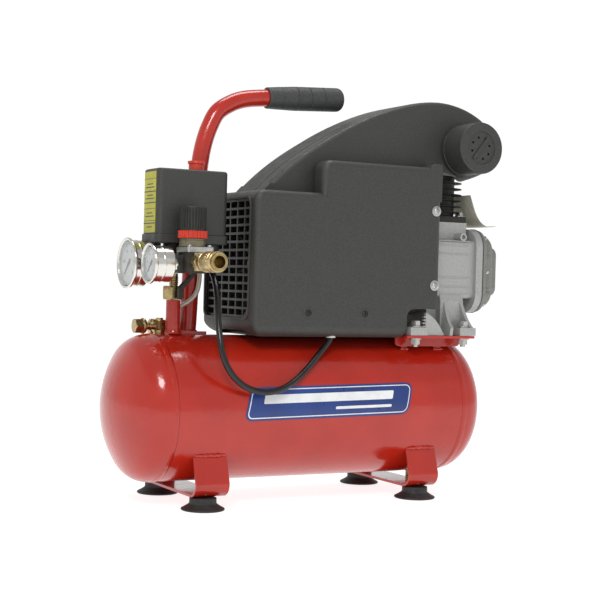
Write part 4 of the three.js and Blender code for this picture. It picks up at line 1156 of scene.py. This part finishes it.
def lattice(x0, x1, y_edges, z_edges):
    """A plate with rectangular holes: the odd strips between edges are open both ways."""
    work = bmesh.new()
    spots = {}

    def vert(layer, i, j):
        key = (layer, i, j)
        if key not in spots:
            spots[key] = work.verts.new(((x0, x1)[layer], y_edges[i], z_edges[j]))
        return spots[key]
    rows, columns = len(y_edges) - 1, len(z_edges) - 1

    def solid(i, j):
        return 0 <= i < rows and 0 <= j < columns and not (i % 2 and j % 2)
    for i in range(rows):
        for j in range(columns):
            if not solid(i, j):
                continue
            around = [(i, j), (i + 1, j), (i + 1, j + 1), (i, j + 1)]
            for layer in (0, 1):
                work.faces.new([vert(layer, *corner) for corner in around])
            for side, (di, dj) in enumerate(((0, -1), (1, 0), (0, 1), (-1, 0))):
                if not solid(i + di, j + dj):
                    a, b = around[side], around[(side + 1) % 4]
                    work.faces.new([vert(0, *a), vert(0, *b), vert(1, *b), vert(1, *a)])
    work.verts.index_update()
    bmesh.ops.recalc_face_normals(work, faces=work.faces)
    form = ([tuple(v.co) for v in work.verts], [tuple(v.index for v in f.verts) for f in work.faces])
    work.free()
    return outward(*form)


def intake_grille():
    g = GRILLE
    x0, x1 = COWL["x0"] + 3, COWL["x0"] + 5.5

    def edges(low, high, count):
        low, high = low + 0.4, high - 0.4
        pitch = (high - low - g["bar"]) / count
        result = []
        for i in range(count + 1):
            result += [low + i * pitch, low + i * pitch + g["bar"]]
        return result
    plate = lattice(x0, x1, edges(g["y0"], g["y1"], g["columns"]), edges(g["z0"], g["z1"], g["rows"]))
    bounds = pushed("x", rounded_rectangle(g["y0"] + 0.4, g["y1"] - 0.4, g["z0"] + 0.4, g["z1"] - 0.4,
                                           [20, 7, 7, 7]), x0 - 2, x1 + 2)
    piece("grille", meet(plate, bounds), "smooth_plastic", replaces="intake_grille", sharp=38)


def cowl_screws():
    front = -COWL["half"]
    for side, word in SIDES:
        bright = [pan_screw((142.2, side * COWL["half"], z), "y", side, 4.4, 3, washer=6)
                  for z in (329.8, 244.3)]
        piece(f"cowl_screws_{word}", together(*bright), "machined")
        dark, cups = [], []
        for x in (-22.4, 49.8):
            dark.append(pan_screw((x, side * COWL["half"], 210.3), "y", side, 3.2, 1.6))
            cup = turned("y", [(3.9, front - 0.9), (5.6, front - 0.6), (6.2, front + 0.2),
                               (3.9, front + 0.2)], (x, 0, 210.3), 48)
            cups.append(cup if side < 0 else mirrored_y(cup))
        piece(f"cowl_dark_screws_{word}", together(*dark), "smooth_plastic")
        piece(f"cowl_screw_cups_{word}", together(*cups), "black_plastic")


motor_cowl()
intake_grille()
cowl_screws()


# ------------------------------------------------------------------ cooling duct and filter
def duct_outline(steps=18):
    low = COWL["low"] + 0.8
    points = [(-66, low), (138, low), (152, 362), (190, 366)]
    spans = [((214, 374), (247, 380), (249, 408)), ((249, 436), (208, 460), (163, 460)),
             ((112, 459), (50, 430), (12, 405.5)), ((-24, 384), (-48, 364), (-66, low))]
    for first, second, end in spans:
        points += bezier(points[-1], first, second, end, steps)
    return points[:-1]


def cooling_duct():
    outline = duct_outline()
    foot = meet(pushed("y", outline, DUCT_FRONT, DUCT_BACK),
                box(-100, 140, -60, 60, COWL["low"], COWL["low"] + 9))
    outer = union(pushed("y", outline, DUCT_FRONT, DUCT_BACK, 6, 6), foot)
    hollow = pushed("y", inset(outline, WALL), DUCT_FRONT + WALL, DUCT_BACK - WALL, 3.5, 4)
    duct = cut(
        outer, hollow,
        box(-40, 120, DUCT_FRONT + 8, DUCT_BACK - 8, COWL["low"] - 5, COWL["low"] + 6),
        rod("z", FIN_RADIUS + 2, 330, CYLINDER_TOP + 3, CYLINDER_AT),
        rod("y", 13, DUCT_FRONT - 5, 0, FILTER_AT),
        rod("y", 7, 0, DUCT_BACK + 5, (PORT[0], 0, PORT[1])),
        box(-100, 300, COWL["step_y"] - 30, COWL["step_y"] + GAP, 300, COWL["high"] + 0.5))
    front_and_rear("duct", duct, DUCT_SEAM, DUCT_SEAM_GAP / 2, 300)


def intake_filter():
    x, _, z = FILTER_AT
    profile = [(0, -75.2), (17.8, -75.2), (18.6, -75.6), (19.2, -77), (28, -77), (29.4, -76.4),
               (30, -75.2), (30, -43.6), (30.3, -42.6), (31, -42), (31, -38.3), (10, -38.3),
               (10, -41), (27, -41), (27, -72), (0, -72)]
    can = turned("y", profile, FILTER_AT, 96)
    holes = []
    for i in range(8):
        angle = (i + 0.35) / 8 * math.tau
        spot = (x + 12.6 * math.cos(angle), 0, z + 12.6 * math.sin(angle))
        holes.append(rod("y", 1.5, -78, -71, spot, 20))
    ridge = pushed("y", rounded_rectangle(-16.5, 16.5, -2.2, 2.2, 2), -76.6, -75, 0.5, 2)
    turn = Matrix.Rotation(math.radians(-52), 3, "Y")
    tilted = [tuple(turn @ Vector((a, 0, c)) + Vector((x, b, z))) for a, b, c in ridge[0]]
    can = union(cut(can, *holes), (tilted, ridge[1]))
    piece("filter_can", can, "black_plastic", replaces="air_filter", sharp=35)
    seam = turned("y", [(29.9, -43.9), (30.9, -43.4), (31.2, -42.4), (30.2, -42.3)], FILTER_AT, 96)
    piece("filter_seam", seam, "smooth_plastic")
    keep("dark_aluminium", "intake_elbow")


cooling_duct()
intake_filter()


# ------------------------------------------------------------------ pump
CRANK_AT = (0, 0, MOTOR_Z)
COVER_X = 222
FOOT_BASE = SADDLE_Z + 3 + GAP
FOOT_TOP = 196
BLOCK = 32
FLANGE_HALF = 50
CROSS_BOLT = (195.5, 0, 302.5)


def crank_square(half, corner):
    """A square with rounded corners, centred on the crankshaft, in Y and Z."""
    return rounded_rectangle(-half, half, MOTOR_Z - half, MOTOR_Z + half, corner, 12)


def pump_foot(side):
    def span(a, b):
        return (-b, -a) if side < 0 else (a, b)

    def block(x0, x1, a, b, top):
        return box(x0, x1, *span(a, b), FOOT_BASE, top)
    leg = [(30, 240), (44, 240)]
    leg += bezier((44, 240), (48, 222), (56, 206), (69, FOOT_TOP), 10)
    leg += [(69, FOOT_BASE), (30, FOOT_BASE)]
    leg = [(y * side, z) for y, z in leg]

    def web(top, low):
        return pushed("y", [(low - 2, FOOT_BASE), (low + 2, FOOT_BASE), (top + 2, 240),
                            (top - 2, 240)], *span(30, 69))
    curve = [(132, FOOT_BASE), (157, FOOT_BASE)]
    for step in range(1, 13):
        t = step / 12
        curve.append(((1 - t) ** 2 * 157 + 2 * t * (1 - t) * 149 + t * t * 132,
                      (1 - t) ** 2 * FOOT_BASE + 2 * t * (1 - t) * 206 + t * t * 213))
    fins = []
    for i in range(5):
        low = FOOT_BASE + 6 + i * 3.6
        fins.append(box(127 + i * 0.6, 134, *span(62.5, 67), low, low + 1.4))
    flange = pushed("x", leg, 150, 205)
    return union(
        block(178, 200, 46, 70, FOOT_TOP), block(110, 133, 52, 70, FOOT_TOP),
        block(112, 200, 38, 56, FOOT_BASE + 3), meet(flange, union(web(173, 166), web(192, 196))),
        meet(flange, block(164, 196, 40, 48, 238)),
        pushed("y", curve, *span(63, 67)), block(132, 157, 54, 67, FOOT_BASE + 2.5), *fins)


def crankcase():
    ribs = []
    for side in (-1, 1):
        for z in (297.6, 292.4, 282.3, 254.5, 243.7, 235.2):
            low, high = sorted((side * 44.5, side * 45.9))
            ribs.append(box(152, 204, low, high, z - 0.45, z + 0.45))
    body = union(
        pushed("x", rounded_rectangle(-45, 45, 230, 299, 5, 6), 151, 214),
        pushed("z", rounded_rectangle(CYLINDER_X - BLOCK, CYLINDER_X + BLOCK, -BLOCK, BLOCK, 2, 4),
               290, 320),
        pushed("x", crank_square(FLANGE_HALF, 23), 212, COVER_X - GAP),
        rod("x", 54, 118, 153, CRANK_AT, 96),
        box(150, 200, -40, 40, FOOT_BASE, 236),
        rod("y", 4.6, -46.5, 46.5, CROSS_BOLT, 32),
        pump_foot(-1), pump_foot(1), *ribs)
    body = cut(
        body,
        rod("x", 40, 164, COVER_X + 5, CRANK_AT, 96), rod("x", 10, 100, 170, CRANK_AT, 48),
        rod("x", 50, 110, 146, CRANK_AT, 96), rod("z", 24, MOTOR_Z, 330, CYLINDER_AT),
        box(154, 196, -36, 36, 180, 226),
        rod("y", 2.6, -50, -43, CROSS_BOLT, 24), rod("y", 2.6, 43, 50, CROSS_BOLT, 24))
    piece("crankcase_casting", body, "aluminium", replaces="crankcase", bevel=0.5, segments=2,
          sharp=34)
    gasket = cut(pushed("x", crank_square(FLANGE_HALF + 0.4, 23.4), COVER_X - 0.6, COVER_X + 0.4),
                 rod("x", 40.5, COVER_X - 2, COVER_X + 2, CRANK_AT))
    piece("cover_gasket", gasket, "print_black")


def crankcase_cover():
    boss = pushed("x", crank_square(29, 10), 238, 257, 2, 4)
    pocket = cut(pushed("x", crank_square(25, 7), 255.6, 259), rod("x", 9, 250, 262, CRANK_AT, 48))
    side_ribs = []
    for y in (-44, 44):
        for dz in (-22, 22):
            side_ribs.append(box(227, 236, y - 3, y + 3, MOTOR_Z + dz - 1.2, MOTOR_Z + dz + 1.2))
    cover = union(
        pushed("x", crank_square(49, 22), COVER_X + 0.4, 228, 0.8, 3),
        pushed("x", crank_square(42.5, 19), 226, 243, 5, 6),
        cut(boss, pocket), *side_ribs)
    piece("end_cover", cover, "dark_aluminium", replaces="crankcase_cover", sharp=34)
    screws = []
    for y in (-1, 1):
        for dz in (-37, 0, 37):
            spot = (0, y * (46 if dz == 0 else 39.5), MOTOR_Z + dz * 1.06)
            screws.append(hex_nut("x", 6, 228, 231.6, spot, 0, 0.5))
    piece("end_cover_screws", together(*screws), "steel")


def cylinder():
    base = 320 + GAP
    profile = [(19.4, base), (28, base)]
    z = base + 11
    while z < CYLINDER_TOP - 3:
        profile += [(28, z), (29, z + 0.3), (FIN_RADIUS - 0.4, z + 0.6), (FIN_RADIUS, z + 0.9),
                    (FIN_RADIUS, z + 1.2), (FIN_RADIUS - 0.4, z + 1.5), (29, z + 1.8), (28, z + 2.1)]
        z += 7
    profile += [(28, CYLINDER_TOP), (19.4, CYLINDER_TOP)]
    foot = pushed("z", rounded_rectangle(CYLINDER_X - BLOCK, CYLINDER_X + BLOCK, -BLOCK, BLOCK, 4),
                  base, base + 7, 0.8, 3)
    foot = cut(foot, rod("z", 19.4, base - 1, base + 8, CYLINDER_AT))
    body = union(turned("z", profile, CYLINDER_AT, 96), foot)
    piece("finned_cylinder", body, "black_fins", replaces="cylinder", sharp=30)
    studs = []
    for x in (-25, 25):
        for y in (-25, 25):
            studs.append(bolt_head("z", 8, (CYLINDER_X + x, y, 0), base + 8, base + 12.4, washer=0.9))
    piece("cylinder_nuts", together(*studs), "steel")
    head = union(pushed("z", rounded_rectangle(151, 205, -27, 27, 6), CYLINDER_TOP + GAP, HEAD_TOP, 1, 3),
                 rod("y", 7, 20, 30, (PORT[0] - 6, 0, PORT[1]), 48))
    piece("cylinder_cap", head, "aluminium", replaces="cylinder_head")


def pump_bolts():
    for side, word in SIDES:
        heads, nuts = [], []
        for x, y in ((122, 61), (189, 60)):
            at = (x, side * y, 0)
            heads.append(bolt_head("z", 10, at, FOOT_TOP + 1.5, FOOT_TOP + 7.5, washer=1.3))
            nuts.append(union(hex_nut("z", 10, 176.2, 182.1, at),
                              rod("z", 7.4, 182.1, 183.4, at, 32), rod("z", 3, 173.6, 177, at, 24)))
        piece(f"pump_bolts_{word}", together(*heads), "machined")
        piece(f"pump_nuts_{word}", together(*nuts), "machined")


def motor_and_gear():
    keep("laminations", "motor_stator")
    keep("dark_aluminium", "motor_end_bracket")
    keep("machined", "rotor_shaft")
    keep("black_plastic", "cooling_fan")
    keep("aluminium", "connecting_rod", "piston")


SADDLE_TABS = ((113, 121), (158, 168))


def pump_saddle():
    top = SADDLE_Z + 3
    parts = [pushed("z", rounded_rectangle(106, 200, -70, 70, 3), SADDLE_Z, top)]
    for y in (-44, 44):
        parts.append(pushed("y", rounded_rectangle(105, 194, 173.2, top - 0.4, [5, 5, 1, 1]),
                            y - 1.5, y + 1.5))
        for x0, x1 in SADDLE_TABS:
            parts.append(box(x0, x1, y - 1.5, y + 1.5, 150, 174.5))
    bead_ring = rod("x", TANK_RADIUS + 1.3, TANK_SEAM_X - 2, 187, (0, 0, TANK_Z), FINE)
    piece("saddle", cut(union(*parts), TANK_CLEAR, bead_ring), "red_paint",
          replaces="pump_saddle", bevel=0.5)
    for y in (-44, 44):
        for i, (x0, x1) in enumerate(SADDLE_TABS):
            away = 1 if y > 0 else -1
            z = TANK_Z + math.sqrt((TANK_RADIUS + 0.6) ** 2 - (abs(y) + 2.2) ** 2)
            route = [(x0 - 1.5 + (x1 - x0 + 3) * k / 12, y + away * 2.2, z + 0.8) for k in range(13)]
            side = "rear" if y > 0 else "front"
            piece(f"saddle_weld_{side}_{i}", bead(route, 1.9, x0 + y, wobble=0.5), "red_paint",
                  sharp=50)


def card_tag():
    """A blank card that hangs from the fins and curls outwards at its lower end."""
    line = smooth_route([(216, 0, 354), (219.6, 0, 345), (223.6, 0, 335), (228.3, 0, 327),
                         (234, 0, 321), (241, 0, 317.6), (249, 0, 317), (256.4, 0, 318.4)], 5)
    flat = [(p.x, p.z) for p in line]
    thick = 0.45
    back = []
    for i, (x, z) in enumerate(flat):
        ahead = Vector(flat[min(i + 1, len(flat) - 1)]) - Vector(flat[max(i - 1, 0)])
        side = Vector((-ahead.y, ahead.x)).normalized() * thick
        back.append((x + side.x, z + side.y))
    piece("card_tag", pushed("y", flat + back[::-1], -28, 17), "card", sharp=50)


crankcase()
crankcase_cover()
cylinder()
pump_bolts()
motor_and_gear()
pump_saddle()
card_tag()


# ------------------------------------------------------------------ floor and light
def stage():
    half = 20                      # metres
    data = bpy.data.meshes.new("floor")
    data.from_pydata([(-half, -half, 0), (half, -half, 0), (half, half, 0), (-half, half, 0)], [],
                     [(0, 1, 2, 3)])
    floor = bpy.data.objects.new("floor", data)
    floor.location.z = -0.0002
    bpy.context.scene.collection.objects.link(floor)
    pale = Finish("floor", 0.9, Specular_IOR_Level=0.1, Emission_Color=(1, 1, 1, 1),
                  Emission_Strength=0.82)
    data.materials.append(pale.colours((0.43, 0.43, 0.43), (0.45, 0.45, 0.45), 400).material)


BEHIND = (0.475, 0.88, 0)
DOWN = (0, 0, -1)


def studio_world():
    """White at eye level behind the machine, so that the backdrop has no seam, and dimmer
    overhead and on the side the machine faces, so that its front shows contrast."""
    world = bpy.data.worlds.new("studio")
    world.use_nodes = True
    nodes, links = world.node_tree.nodes, world.node_tree.links
    direction = nodes.new("ShaderNodeTexCoord").outputs["Generated"]

    def fade(along, dim_at, white_at, dim):
        """A strength that rises from dim to white as the direction turns towards along."""
        turned_to = nodes.new("ShaderNodeVectorMath")
        turned_to.operation = "DOT_PRODUCT"
        turned_to.inputs[1].default_value = along
        links.new(direction, turned_to.inputs[0])
        ramp = nodes.new("ShaderNodeMapRange")
        ramp.inputs["From Min"].default_value = dim_at
        ramp.inputs["From Max"].default_value = white_at
        ramp.inputs["To Min"].default_value = dim
        ramp.inputs["To Max"].default_value = 1.03
        links.new(turned_to.outputs["Value"], ramp.inputs["Value"])
        return ramp.outputs["Result"]
    lower = nodes.new("ShaderNodeMath")
    lower.operation = "MINIMUM"
    links.new(fade(BEHIND, 0.3, 0.85, 0.68), lower.inputs[0])
    links.new(fade(DOWN, -0.6, -0.24, 0.5), lower.inputs[1])
    links.new(lower.outputs["Value"], nodes["Background"].inputs["Strength"])
    nodes["Background"].inputs["Color"].default_value = (1, 1, 1, 1)
    bpy.context.scene.world = world
    bpy.context.scene.view_settings.view_transform = "Standard"


def softbox(name, position, target, width, height, power):
    data = bpy.data.lights.new(name, "AREA")
    data.shape = "RECTANGLE"
    data.size = width
    data.size_y = height
    data.energy = power
    lamp = bpy.data.objects.new(name, data)
    lamp.location = position
    lamp.rotation_euler = (Vector(target) - Vector(position)).to_track_quat("-Z", "Y").to_euler()
    bpy.context.scene.collection.objects.link(lamp)


stage()
studio_world()
LIT_POINT = (0, 0, 0.2)
softbox("key", (-1.0, -1.5, 1.6), LIT_POINT, 0.7, 0.5, 18)
softbox("top", (0.1, 0.2, 1.9), LIT_POINT, 1.0, 0.6, 12)
